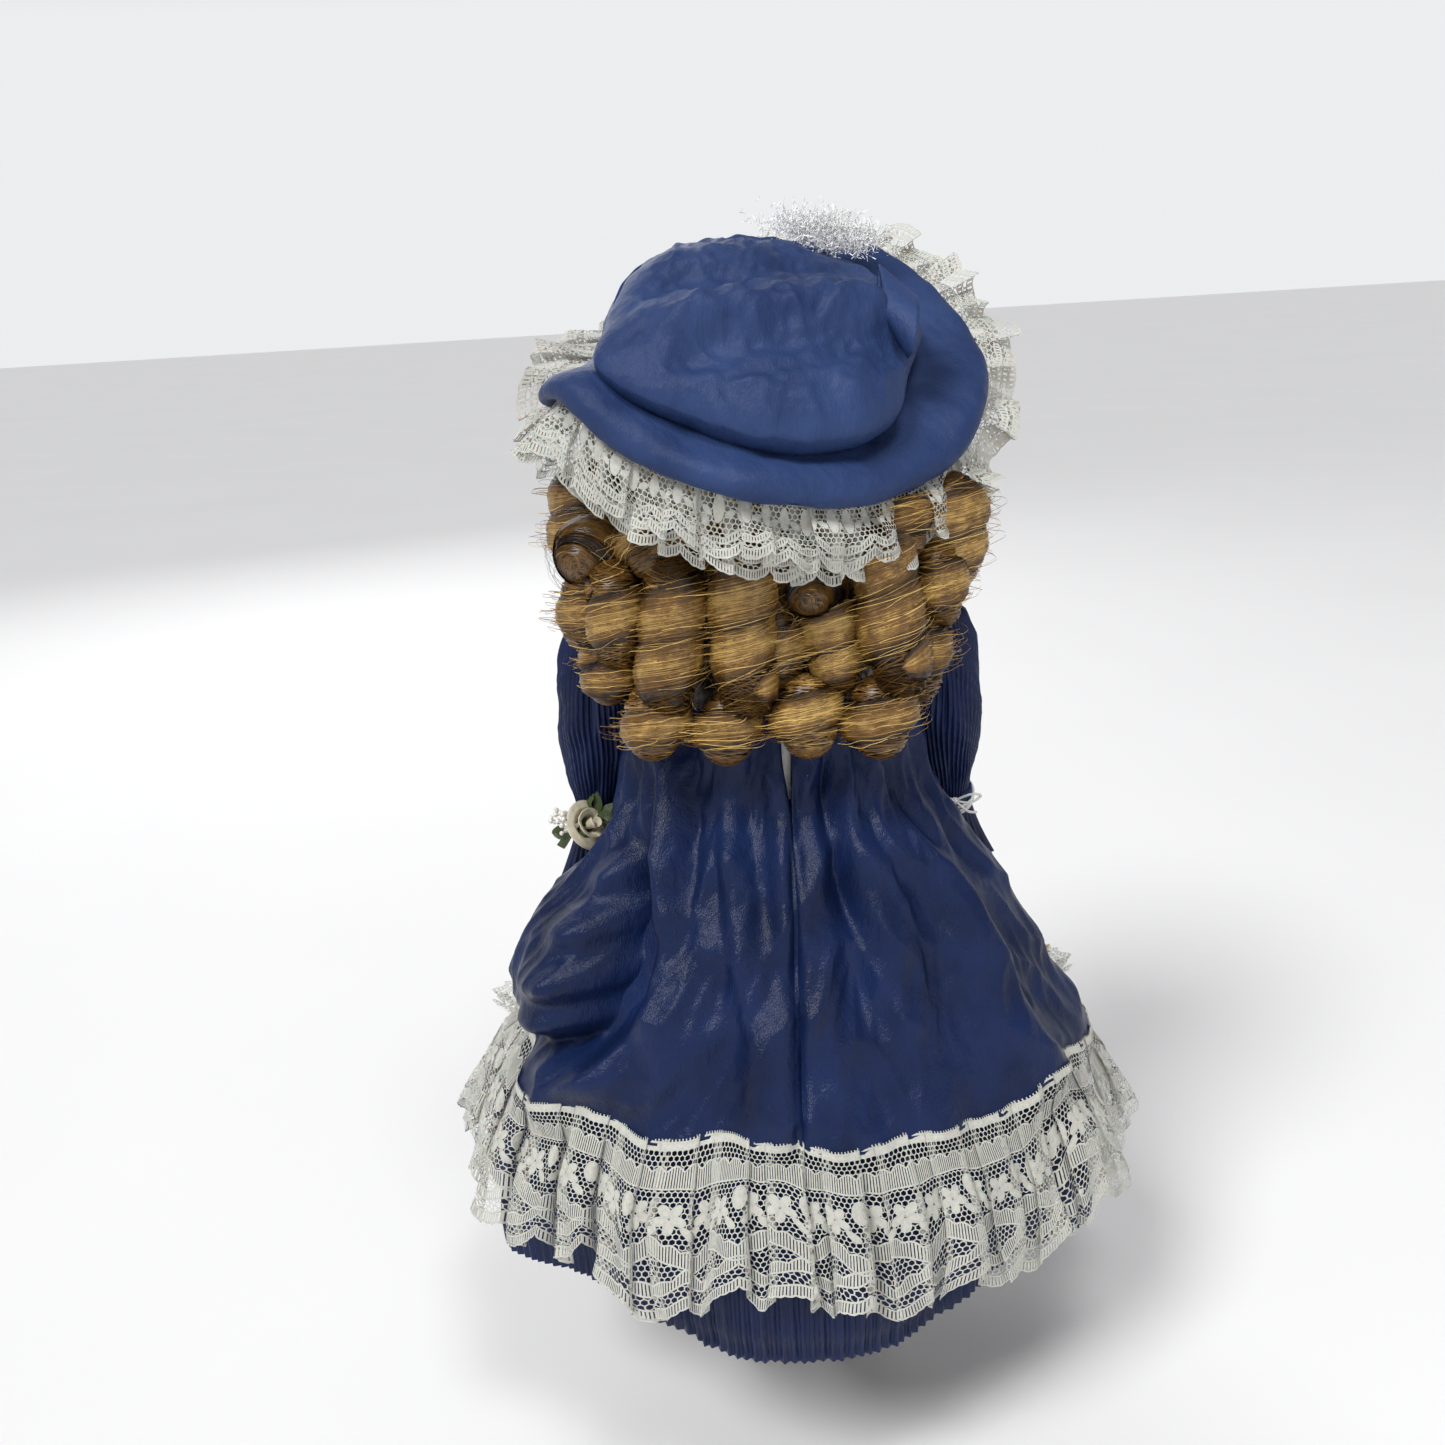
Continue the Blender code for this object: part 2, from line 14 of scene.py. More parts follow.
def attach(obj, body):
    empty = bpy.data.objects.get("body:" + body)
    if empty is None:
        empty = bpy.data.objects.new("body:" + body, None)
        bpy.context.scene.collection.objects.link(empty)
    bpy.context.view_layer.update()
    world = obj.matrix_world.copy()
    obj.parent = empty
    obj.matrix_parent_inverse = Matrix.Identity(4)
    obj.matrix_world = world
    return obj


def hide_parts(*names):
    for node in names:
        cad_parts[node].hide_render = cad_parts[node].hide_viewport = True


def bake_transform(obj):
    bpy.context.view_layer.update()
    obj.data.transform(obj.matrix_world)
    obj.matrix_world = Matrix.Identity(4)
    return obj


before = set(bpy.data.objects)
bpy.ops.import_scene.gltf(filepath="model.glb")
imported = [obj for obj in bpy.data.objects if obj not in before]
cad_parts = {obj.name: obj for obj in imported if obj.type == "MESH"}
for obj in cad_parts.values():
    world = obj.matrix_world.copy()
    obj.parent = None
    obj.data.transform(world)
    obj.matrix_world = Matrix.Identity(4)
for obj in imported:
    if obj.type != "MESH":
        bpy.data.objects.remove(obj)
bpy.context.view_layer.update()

MM = 0.001
TAU = 2 * math.pi
HALF_PI = math.pi / 2
SIDE_NAMES = {1: "left", -1: "right"}

# Skirt sections: height, half width, half depth, centre y.
SKIRT = np.array([
    (68, 114, 99, 0), (90, 116, 99, 0), (112, 110, 93, 0), (132, 101, 86, 1), (145, 94, 79, 2),
    (161, 85, 70, 4), (180, 75, 60, 5), (197, 66, 51, 6), (205, 60, 47, 6), (215, 54, 42, 6),
    (225, 48, 36, 4), (236, 45.5, 33, 3), (250, 44.5, 31.5, 2.5), (264, 44, 30, 1.5),
], float)
# The share of its width by which the skirt is drawn in beside and before the forearms.
DENT = 0.27
# Heights of the waist and of both hems.
WAIST = 236.0
HEM = 134.0
UNDERSKIRT_HEM = 68.5


# ---------------------------------------------------------------- numbers and meshes

def smooth(t):
    """0 below 0, 1 above 1, with a soft step between."""
    t = np.clip(t, 0.0, 1.0)
    return t * t * (3 - 2 * t)


def hump(value, width):
    """1 at 0, falling off smoothly over a width."""
    return np.exp(-((value / width) ** 2))


def ripples(x, y, seed, waves=7):
    """Smooth waves in many directions, about -1 to 1, one wave long at a distance of 1."""
    rng = np.random.default_rng(seed)
    total = np.zeros_like(x * y)
    for _ in range(waves):
        turn, phase = rng.uniform(0, TAU, 2)
        pace = rng.uniform(0.6, 1.5) * TAU
        total += np.sin(pace * (x * math.cos(turn) + y * math.sin(turn)) + phase)
    return total / math.sqrt(waves) / 1.4


def creased(x, y, seed):
    """Ripples with sharp valleys, as in crumpled satin."""
    return 0.6 - 1.6 * np.abs(ripples(x, y, seed, 5))


def as_column(start, end, count):
    """Evenly spaced values, one below the other."""
    return np.linspace(start, end, count)[:, None]


def as_row(start, end, count, endpoint=True):
    """Evenly spaced values, side by side."""
    return np.linspace(start, end, count, endpoint=endpoint)[None, :]


def full_turn(count):
    """Angles all round, without the last one that meets the first."""
    return np.linspace(0, TAU, count, endpoint=False)[None, :]


def xyz(x, y, z):
    """Points from coordinates of shapes that fit one another."""
    return np.stack(np.broadcast_arrays(x, y, z), axis=-1)


def unit(vectors):
    """Vectors of length 1 in the same directions."""
    return vectors / np.maximum(np.linalg.norm(vectors, axis=-1, keepdims=True), 1e-9)


def mesh_object(name, points, faces, paint, uv=None, tint=None):
    """A smooth-shaded mesh from points in millimetres and an array of faces with equal corners."""
    points = np.asarray(points, float).reshape(-1, 3) * MM
    faces = np.asarray(faces, np.int32)
    count, corners = faces.shape
    mesh = bpy.data.meshes.new(name)
    mesh.vertices.add(len(points))
    mesh.vertices.foreach_set("co", points.astype(np.float32).ravel())
    mesh.loops.add(count * corners)
    mesh.loops.foreach_set("vertex_index", faces.ravel())
    mesh.polygons.add(count)
    mesh.polygons.foreach_set("loop_start", np.arange(0, count * corners, corners, dtype=np.int32))
    mesh.update(calc_edges=True)
    mesh.shade_smooth()
    if uv is not None:
        layer = mesh.uv_layers.new(name="UVMap")
        layer.data.foreach_set("uv", np.asarray(uv, np.float32).reshape(-1, 2)[faces.ravel()].ravel())
    if tint is not None:
        made = mesh.attributes.new("tint", "FLOAT", "POINT")
        made.data.foreach_set("value", np.asarray(tint, np.float32).ravel())
    mesh.materials.append(paint)
    obj = bpy.data.objects.new(name, mesh)
    bpy.context.scene.collection.objects.link(obj)
    return obj


def grid_faces(rows, columns, around=False, start=0):
    """Quads between the points of a grid. around joins the last column to the first."""
    index = np.arange(rows * columns).reshape(rows, columns) + start
    if around:
        index = np.concatenate([index, index[:, :1]], axis=1)
    a, b = index[:-1, :-1], index[:-1, 1:]
    c, d = index[1:, 1:], index[1:, :-1]
    return np.stack([a, d, c, b], axis=-1).reshape(-1, 4)


def faces_between(points, around=False):
    """Quads between points of the shape (rows, columns, 3)."""
    return grid_faces(*points.shape[:2], around)


def grid_shape(points, around=False):
    """(points, faces) of a surface through points of the shape (rows, columns, 3)."""
    return points.reshape(-1, 3), faces_between(points, around)


def join(parts):
    """One (points, faces) from several, with the faces renumbered."""
    points, faces, start = [], [], 0
    for some_points, some_faces in parts:
        points.append(np.asarray(some_points, float).reshape(-1, 3))
        faces.append(np.asarray(some_faces) + start)
        start += len(points[-1])
    return np.concatenate(points), np.concatenate(faces)


def sided(points, side):
    """Points of the doll's left side, mirrored for its right side where side is -1."""
    return np.asarray(points) * [side, 1, 1]


def faces_of(faces, side):
    """Faces of a mirrored piece, turned so that they still face out."""
    return faces if side > 0 else np.asarray(faces)[:, ::-1]


def mirrored_object(name, side, points, faces, paint):
    """A piece modelled at the doll's left, on the side asked for."""
    return mesh_object(name, sided(points, side), faces_of(faces, side), paint)


def thicken(obj, thickness, offset=-1):
    """Gives a sheet its thickness, in metres: inwards, or to both sides with offset 0."""
    made = obj.modifiers.new("thickness", "SOLIDIFY")
    made.thickness = thickness
    made.offset = offset


def paint_points(obj, colours):
    """Gives every point its own colour, in the attribute that painted_china reads."""
    layer = obj.data.color_attributes.new("paint", "FLOAT_COLOR", "POINT")
    layer.data.foreach_set("color", colours.astype(np.float32).ravel())


def dress(obj, body, slot, *nodes):
    """obj rides on a body and stands for CAD nodes, which are hidden. slot is not used."""
    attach(obj, body)
    if nodes:
        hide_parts(*nodes)
    return obj


# ---------------------------------------------------------------- materials

def new_material(name):
    """(material, nodes, links, shader) of a Principled material."""
    made = bpy.data.materials.new(name)
    made.use_nodes = True
    tree = made.node_tree
    return made, tree.nodes, tree.links, tree.nodes["Principled BSDF"]


def tune(node, values):
    """Sets a node's inputs by name."""
    for name, value in values.items():
        node.inputs[name].default_value = value


def colour_mix(nodes, links, shader, first, second, factor):
    """Mixes two colours by a socket into the shader's colour."""
    mix = nodes.new("ShaderNodeMix")
    mix.data_type = "RGBA"
    mix.inputs[6].default_value = (*first, 1)
    mix.inputs[7].default_value = (*second, 1)
    links.new(factor, mix.inputs[0])
    links.new(mix.outputs[2], shader.inputs["Base Color"])


def noise_node(nodes, links, scale, detail=3.0, stretch=(1, 1, 1), source="Object"):
    """A noise texture on object or UV coordinates."""
    place = nodes.new("ShaderNodeTexCoord")
    mapping = nodes.new("ShaderNodeMapping")
    mapping.inputs["Scale"].default_value = stretch
    made = nodes.new("ShaderNodeTexNoise")
    made.inputs["Scale"].default_value = scale
    made.inputs["Detail"].default_value = detail
    links.new(place.outputs[source], mapping.inputs["Vector"])
    links.new(mapping.outputs["Vector"], made.inputs["Vector"])
    return made.outputs["Fac"]


def multiply_add(nodes, links, value, factor, added):
    """The socket value * factor + added."""
    made = nodes.new("ShaderNodeMath")
    made.operation = "MULTIPLY_ADD"
    links.new(value, made.inputs[0])
    made.inputs[1].default_value = factor
    links.new(added, made.inputs[2])
    return made.outputs[0]


def attribute_node(nodes, name="tint"):
    """The node that reads an attribute of the mesh."""
    made = nodes.new("ShaderNodeAttribute")
    made.attribute_name = name
    return made


def bump(nodes, links, shader, height, strength, distance):
    """Lets a height socket disturb the shader's surface."""
    made = nodes.new("ShaderNodeBump")
    made.inputs["Strength"].default_value = strength
    made.inputs["Distance"].default_value = distance
    links.new(height, made.inputs["Height"])
    links.new(made.outputs["Normal"], shader.inputs["Normal"])


def satin_paint(name, dark, light, roughness=0.42, sheen=0.08, crumple=0.8, specular=0.28):
    """Woven satin: a fine thread grain, small crumples, cloudy shade and a soft sheen."""
    made, nodes, links, shader = new_material(name)
    cloudy = noise_node(nodes, links, 38, 6)
    colour_mix(nodes, links, shader, dark, light, cloudy)
    tune(shader, {"Roughness": roughness, "Specular IOR Level": specular, "Sheen Weight": sheen,
                  "Sheen Roughness": 0.4, "Sheen Tint": (*[min(1, 0.25 + value * 3) for value in light], 1)})
    crumples = noise_node(nodes, links, 190, 4, (1, 1, 0.6))
    threads = noise_node(nodes, links, 2600, 1, (1, 1, 0.12))
    fine = multiply_add(nodes, links, crumples, 5 * crumple, threads)
    broad = multiply_add(nodes, links, noise_node(nodes, links, 48, 3, (1, 1, 0.7)), 5 * crumple, fine)
    bump(nodes, links, shader, broad, 0.55, 0.00035)
    return made


def thread_paint(name, dark, light, scale=900):
    """Cotton or nylon thread, matt and slightly uneven."""
    made, nodes, links, shader = new_material(name)
    colour_mix(nodes, links, shader, dark, light, noise_node(nodes, links, scale, 2))
    tune(shader, {"Roughness": 0.75, "Sheen Weight": 0.3, "Subsurface Weight": 0.15,
                  "Subsurface Scale": 0.001})
    bump(nodes, links, shader, noise_node(nodes, links, 3500, 1), 0.4, 0.0002)
    return made


def tinted_paint(name, dark, middle, light, roughness, specular=0.5, sheen=0.0):
    """A fibre material coloured by the tint attribute: each fibre's own tone and, on the hair, the painted
    shade and painted highlights put into it.
    """
    made, nodes, links, shader = new_material(name)
    ramp = nodes.new("ShaderNodeValToRGB")
    ramp.color_ramp.elements[0].color = (*dark, 1)
    ramp.color_ramp.elements[1].color = (*light, 1)
    ramp.color_ramp.elements.new(0.5).color = (*middle, 1)
    shift = nodes.new("ShaderNodeMath")
    shift.operation = "SUBTRACT"
    links.new(attribute_node(nodes).outputs["Fac"], shift.inputs[0])
    shift.inputs[1].default_value = 0.25
    mixed = multiply_add(nodes, links, noise_node(nodes, links, 260, 4), 0.5, shift.outputs[0])
    links.new(mixed, ramp.inputs["Fac"])
    links.new(ramp.outputs["Color"], shader.inputs["Base Color"])
    tune(shader, {"Roughness": roughness, "Specular IOR Level": specular, "Sheen Weight": sheen})
    return made


def plain_paint(name, dark, light, roughness, scale=60, coat=0.0, metallic=0.0, under=0.0):
    """A smooth material with a faint cloudy variation."""
    made, nodes, links, shader = new_material(name)
    colour_mix(nodes, links, shader, dark, light, noise_node(nodes, links, scale, 3))
    tune(shader, {"Roughness": roughness, "Coat Weight": coat, "Coat Roughness": 0.08, "Metallic": metallic,
                  "Subsurface Weight": under, "Subsurface Scale": 0.002})
    return made


def painted_china(name, roughness, coat):
    """Porcelain coloured by the paint fired onto it."""
    made, nodes, links, shader = new_material(name)
    source = attribute_node(nodes, "paint")
    mix = nodes.new("ShaderNodeMix")
    mix.data_type = "RGBA"
    mix.blend_type = "MULTIPLY"
    ramp = nodes.new("ShaderNodeValToRGB")
    ramp.color_ramp.elements[0].color = (0.93, 0.92, 0.91, 1)
    links.new(noise_node(nodes, links, 70, 4), ramp.inputs["Fac"])
    mix.inputs[0].default_value = 1.0
    links.new(source.outputs["Color"], mix.inputs[6])
    links.new(ramp.outputs["Color"], mix.inputs[7])
    links.new(mix.outputs[2], shader.inputs["Base Color"])
    tune(shader, {"Roughness": roughness, "Coat Weight": coat, "Coat Roughness": 0.06,
                  "Subsurface Weight": 0.10, "Subsurface Scale": 0.002})
    return made


def eye_paint():
    """Glass eye: pupil, streaked blue iris with a dark ring, and white."""
    made, nodes, links, shader = new_material("glass_eye")
    streak = multiply_add(nodes, links, noise_node(nodes, links, 2200, 2), 0.035,
                          attribute_node(nodes).outputs["Fac"])
    ramp = nodes.new("ShaderNodeValToRGB")
    stops = ramp.color_ramp.elements
    stops[0].color = (0.002, 0.002, 0.003, 1)
    stops[0].position = 0.155
    stops[1].color = (0.86, 0.86, 0.86, 1)
    stops[1].position = 0.46
    for place, colour in ((0.185, (0.10, 0.22, 0.36)), (0.29, (0.035, 0.13, 0.30)),
                          (0.39, (0.015, 0.055, 0.17)),
                          (0.415, (0.006, 0.012, 0.035)), (0.435, (0.006, 0.012, 0.035))):
        stops.new(place).color = (*colour, 1)
    links.new(streak, ramp.inputs["Fac"])
    links.new(ramp.outputs["Color"], shader.inputs["Base Color"])
    tune(shader, {"Roughness": 0.12, "Coat Weight": 1.0, "Coat Roughness": 0.02})
    return made


PAINT = {
    "satin": satin_paint("navy_satin_cloth", (0.0, 0.0002, 0.002), (0.0118, 0.029, 0.114), 0.34, 0.0, 0.9,
                         0.20),
    # The hat's navy satin is mixed lighter than the dress's satin. Its lighter level and streaks are a
    # painted sheen, over a tone that varies at random.
    "hat": satin_paint("navy_hat_satin_painted_sheen", (0.003, 0.011, 0.050), (0.044, 0.080, 0.210), 0.48, 0.0, 1.0, 0.16),
    "pleated": satin_paint("navy_pleated_satin", (0.0016, 0.005, 0.024), (0.0085, 0.021, 0.092), 0.32, 0.0,
                           0.1, 0.25),
    "lace": thread_paint("ivory_lace_thread", (0.42, 0.41, 0.36), (0.66, 0.65, 0.59)),
    "hair": tinted_paint("golden_hair", (0.006, 0.0024, 0.0005), (0.205, 0.100, 0.022), (1.0, 0.68, 0.21),
                         0.36, 0.5),
    "tulle": tinted_paint("white_tulle", (0.80, 0.81, 0.82), (0.92, 0.92, 0.92), (0.98, 0.98, 0.98), 0.7,
                          0.3, 0.6),
    "trim": thread_paint("white_woven_trim", (0.70, 0.70, 0.68), (0.90, 0.90, 0.88)),
    "cream": satin_paint("cream_rose_satin", (0.60, 0.53, 0.37), (0.80, 0.74, 0.58), 0.42, 0.2),
    "olive": satin_paint("olive_ribbon", (0.028, 0.045, 0.016), (0.085, 0.115, 0.042), 0.4, 0.15),
    "bisque": painted_china("painted_bisque", 0.40, 0.05),
    "glaze": painted_china("glazed_china", 0.22, 0.8),
    "skin": plain_paint("bisque_skin", (0.79, 0.57, 0.46), (0.82, 0.61, 0.50), 0.40, 80, 0.05, 0.0, 0.12),
    "muslin": thread_paint("cream_muslin", (0.62, 0.57, 0.47), (0.78, 0.74, 0.64), 400),
    "eye": eye_paint(),
    "lash": plain_paint("dark_lashes", (0.02, 0.012, 0.008), (0.04, 0.025, 0.015), 0.5),
    "pearl": plain_paint("pearl_beads", (0.78, 0.74, 0.66), (0.92, 0.90, 0.84), 0.22, 300, 0.5, 0.15),
}


# ---------------------------------------------------------------- the skirt's shape

def even_sections():
    """The skirt's sections every half millimetre, with their corners rounded off."""
    heights = np.arange(50, 275, 0.5)
    kernel = np.hanning(27)
    kernel /= kernel.sum()
    columns = []
    for column in (1, 2, 3):
        values = np.interp(heights, SKIRT[:, 0], SKIRT[:, column])
        padded = np.pad(values, 13, mode="edge")
        columns.append(np.convolve(padded, kernel, mode="valid"))
    return heights, columns


HEIGHTS, SECTIONS = even_sections()


def skirt(angle, z, lift):
    """Points on the skirt at angles from the back, lifted off the overskirt's outer face."""
    wide, deep, centre = [np.interp(z, HEIGHTS, values) for values in SECTIONS]
    x = (wide + lift) * np.sin(angle)
    y = centre + (deep + lift) * np.cos(angle)
    beside_arm = smooth((16 - y) / 28) * smooth((224 - z) / 12) * smooth((z - 136) / 24)
    x = x * (1 - DENT * beside_arm)
    return xyz(x, y, z)


def angle_at():
    """Tables that turn a distance round the lace into an angle from the back."""
    angles = np.linspace(0, TAU, 721)
    points = skirt(angles, np.full(721, 108.0), 0.0)
    steps = np.linalg.norm(np.diff(points, axis=0), axis=1)
    return np.concatenate([[0], np.cumsum(steps)]), angles


ROUND, ROUND_ANGLES = angle_at()
GIRTH = ROUND[-1]


def flute(angle, z):
    """The underskirt's soft organ-pipe folds, with a broad one at the centre back."""
    angle = np.remainder(angle + math.pi, TAU) - math.pi
    phase = 12 * angle + 0.9 * np.sin(3 * angle) + 0.6 * np.sin(5 * angle) - 0.2
    side = smooth((np.abs(angle) - 0.34) / 0.2)
    strength = smooth((152 - z) / 75)
    return strength * (5.0 * side * np.cos(phase) + 7.5 * np.exp(-(angle / 0.30) ** 4) - 1.0 * (1 - side))


def hem_line(angle):
    """Height of the overskirt's hem. It is drawn up at the left side, where the swag is."""
    angle = np.remainder(angle + math.pi, TAU) - math.pi
    wave = (2.2 * np.sin(6 * angle + 0.4) + 1.2 * np.sin(11 * angle) - 4.0 * hump(angle + 0.65, 0.2)
            + 5.0 * hump(angle - 0.82, 0.22))
    return HEM + 1.5 + wave + 15 * smooth((angle - 1.0) / 0.5) * smooth((2.5 - angle) / 0.9)


# ---------------------------------------------------------------- lace

# The drop of the wide lace, from its heading to its scallops.
LACE_DROP = 52.0


class Lace:
    """A strip of lace drawn flat: s runs along it and t down it from its top edge, in millimetres."""

    def __init__(self, repeat, height, scallop, cell=1.75, thread=0.33):
        self.repeat = repeat
        self.height = height
        self.scallop = scallop
        self.cell = cell
        self.thread = thread
        self.parts = []
        self.solid = []

    def edge(self, s):
        """The scalloped lower edge."""
        share = np.remainder(s, self.repeat) / self.repeat
        return self.height - self.scallop * (1 - np.sin(math.pi * share) ** 0.8)

    def ribbon(self, line, width, lift=0.12):
        """A cord laid along a line of flat points."""
        line = np.asarray(line, float)
        along = unit(np.gradient(line, axis=0))
        side = np.stack([-along[:, 1], along[:, 0]], axis=1) * width / 2
        flat = np.stack([line - side, line + side], axis=1)
        points = np.concatenate([flat, np.full((len(line), 2, 1), lift)], axis=2)
        self.parts.append(grid_shape(points))

    def band(self, top, low, step=0.8, rows=0, corded=True):
        """Close work between two lines, each a function of s: upright threads, or solid with rows."""
        s = np.arange(0, self.repeat + step / 2, step if not rows else 0.75)
        if rows:
            share = as_column(0, 1, rows)
            t = top(s) + (low(s) - top(s)) * share
            points = np.stack([np.broadcast_to(s, t.shape), t, np.zeros_like(t)], axis=-1)
            self.parts.append(grid_shape(points))
        else:
            half = 0.26
            corners = [(s - half, top(s)), (s - half, low(s)), (s + half, low(s)), (s + half, top(s))]
            points = np.stack([np.stack([a, b, 0 * a], axis=1) for a, b in corners], axis=1)
            self.parts.append((points.reshape(-1, 3), np.arange(len(s) * 4).reshape(-1, 4)))
        self.solid.append(lambda a, b: (b > top(a) - 0.2) & (b < low(a) + 0.2))
        if corded:
            self.ribbon(np.stack([s, top(s)], axis=1), 0.55)
            self.ribbon(np.stack([s, low(s)], axis=1), 0.55)

    def petal(self, s, t, long, wide, turn):
        """A close-worked oval with a corded outline."""
        share = as_column(-1, 1, 8)
        across = as_row(-1, 1, 3)
        reach = np.sqrt(np.maximum(1 - share**2, 0.02))
        u, v = share * long, across * wide * reach
        c, d = math.cos(turn), math.sin(turn)
        flat = np.stack([s + u * c - v * d, t + u * d + v * c, np.full(v.shape, 0.05)], axis=-1)
        self.parts.append(grid_shape(flat))
        turns = np.linspace(0, TAU, 15)
        ring_u, ring_v = long * np.cos(turns), wide * np.sin(turns)
        self.ribbon(np.stack([s + ring_u * c - ring_v * d, t + ring_u * d + ring_v * c], axis=1), 0.42, 0.18)

        def inside(a, b):
            p, q = (a - s) * c + (b - t) * d, -(a - s) * d + (b - t) * c
            return (p / long) ** 2 + (q / wide) ** 2 < 1

        self.solid.append(inside)

    def net(self, top):
        """Hexagonal net wherever nothing is worked solid."""
        tall = self.cell / math.sqrt(3)
        rows = int(self.height / (1.5 * tall)) + 2
        columns = round(self.repeat / self.cell)
        pitch = self.repeat / columns
        starts, ends = [], []
        for row in range(rows):
            for column in range(columns):
                x = (column + 0.5 * (row % 2)) * pitch
                y = row * 1.5 * tall
                node = (x, y + tall / 2)
                starts += [(x, y - tall / 2), node, node]
                ends += [node, (x + pitch / 2, y + tall), (x - pitch / 2, y + tall)]
        starts, ends = np.array(starts), np.array(ends)
        middle = (starts + ends) / 2
        keep = (middle[:, 1] > top) & (middle[:, 1] < self.edge(middle[:, 0]) - 1.6)
        for inside in self.solid:
            keep &= ~inside(np.remainder(middle[:, 0], self.repeat), middle[:, 1])
        starts, ends = starts[keep], ends[keep]
        along = unit(ends - starts)
        side = np.stack([-along[:, 1], along[:, 0]], axis=1) * self.thread / 2
        corners = np.stack([starts - side, ends - side, ends + side, starts + side], axis=1)
        points = np.concatenate([corners, np.zeros((len(corners), 4, 1))], axis=2)
        self.parts.append((points.reshape(-1, 3), np.arange(len(corners) * 4).reshape(-1, 4)))

    def repeat_over(self, first, count):
        """(points, faces) of the pattern from one repeat on, some number of times."""
        points, faces = join(self.parts)
        tiles = []
        for i in range(first, first + count):
            tiles.append((points + [i * self.repeat, 0, 0], faces))
        return join(tiles)


def deep_lace():
    """The wide flounce lace: picot heading, lobed band, flowers, two garlands and a scalloped border."""
    made = Lace(33.0, LACE_DROP, 6.5)
    w = made.repeat

    def lobes(s, count, size):
        return size * np.abs(np.sin(math.pi * s * count / w))

    made.band(lambda s: 0 * s, lambda s: 0 * s + 2.0, rows=2)
    for i in range(30):
        s = (i + 0.5) * w / 30
        made.ribbon([(s, 0.2), (s + 0.15, -0.9)], 0.4)
    made.band(lambda s: 8.6 - lobes(s, 6, 1.9), lambda s: 13.4 + 0 * s)
    made.band(lambda s: 30.5 + 2.6 * np.cos(TAU * s / w) - lobes(s, 7, 1.3),
              lambda s: 34.6 + 2.6 * np.cos(TAU * s / w))
    made.band(lambda s: made.edge(s) - 9.6 - lobes(s, 5, 1.5), lambda s: made.edge(s) - 7.2)
    made.band(lambda s: made.edge(s) - 3.0, lambda s: made.edge(s) + lobes(s, 14, 0.5))
    for centre, height in ((8.2, 22), (24.7, 21)):
        for k in range(5):
            turn = TAU * k / 5 + 0.3
            made.petal(centre + 2.6 * math.cos(turn), height + 2.6 * math.sin(turn), 2.1, 1.25, turn)
        for sign in (-1, 1):
            made.petal(centre + sign * 5.2, height + 4.2, 2.5, 1.0, sign * 0.7)
    made.petal(16.5, 20.5, 4.8, 2.9, HALF_PI)
    made.petal(0.0, 19.0, 3.6, 2.4, HALF_PI)
    made.petal(16.5, 40.0, 2.4, 1.2, 0.0)
    made.net(1.8)
    return made


def pleat_path(period, fold):
    """Box pleats: the cloth used by each, and tables from a place on the cloth to place and depth."""
    front = period - 1.5 * fold
    corners = np.array([
        (0, 0), (front, 0), (front - fold, -1), (period + fold * 0.4, -2), (period - fold * 0.3, -1),
        (period, 0),
    ])
    steps = np.abs(np.diff(corners[:, 0])) + 0.5
    cloth = np.concatenate([[0], np.cumsum(steps)])
    length = cloth[-1]
    places = np.linspace(0, length, 240, endpoint=False)
    kernel = np.hanning(25)
    kernel /= kernel.sum()
    tables = []
    for column, shift in ((0, period), (1, 0)):
        once = np.interp(places, cloth, corners[:, column])
        thrice = np.concatenate([once - shift, once, once + shift])
        tables.append(np.convolve(thrice, kernel, mode="same")[240:480])
    return length, places, tables


def pleated(s, period, fold):
    """Place along the edge and depth (0 front, -2 back) of lace gathered in box pleats."""
    length, places, (along, depth) = pleat_path(period, fold)
    pleat = np.floor(s / length)
    rest = s - pleat * length
    places = np.append(places, length)
    along = np.append(along, along[0] + period)
    depth = np.append(depth, depth[0])
    return pleat * period + np.interp(rest, places, along), np.interp(rest, places, depth)


# The number of box pleats round the hem, and how far each folds back.
FLOUNCE_PLEATS = 36
FLOUNCE_FOLD = 3.6


def hem_flounce(flat):
    """Folds the flat lace into pleats below the overskirt's hem."""
    period = GIRTH / FLOUNCE_PLEATS
    s, t, raised = flat[:, 0], flat[:, 1], flat[:, 2]
    round_share = s / (pleat_path(period, FLOUNCE_FOLD)[0] * FLOUNCE_PLEATS) * TAU
    along, depth = pleated(s + 3.2 * np.sin(14 * round_share) * np.sin(5 * round_share), period, FLOUNCE_FOLD)
    down = t / LACE_DROP
    angle = np.interp(np.remainder(along, GIRTH), ROUND, ROUND_ANGLES)
    wobble = ripples(angle * 7, down * 1.1, 11)
    sway = 0.030 * down * ripples(angle * 5, down * 0.8, 12)
    turned = np.remainder(angle + math.pi, TAU) - math.pi
    cover = smooth((np.radians(98) + 0.06 - np.abs(turned)) / 0.10)
    heading = 2.0 + cover * (overskirt_folds(turned, hem_line(angle) + 1.0) - 0.6) + 0.5 * depth
    z = hem_line(angle) + 1.4 - t * (0.93 + 0.07 * ripples(angle * 4, 0 * down, 5))
    z = z + 3.0 * down * depth + 2.4 * down * np.sin(9 * angle + 1.5 * np.sin(4 * angle))
    proud = 4.4 - 2.0 * np.cos(angle) ** 2
    uneven = 1 + 0.5 * ripples(angle * 9, 0 * down, 13)
    lift = (2.0 + proud * down + 0.75 * flute(angle, z) + depth * (0.6 + 3.2 * down) * uneven
            + 2.0 * down * wobble)
    lift = heading + (lift - heading) * smooth(t / 15)
    return skirt(angle + sway, z, lift + raised)


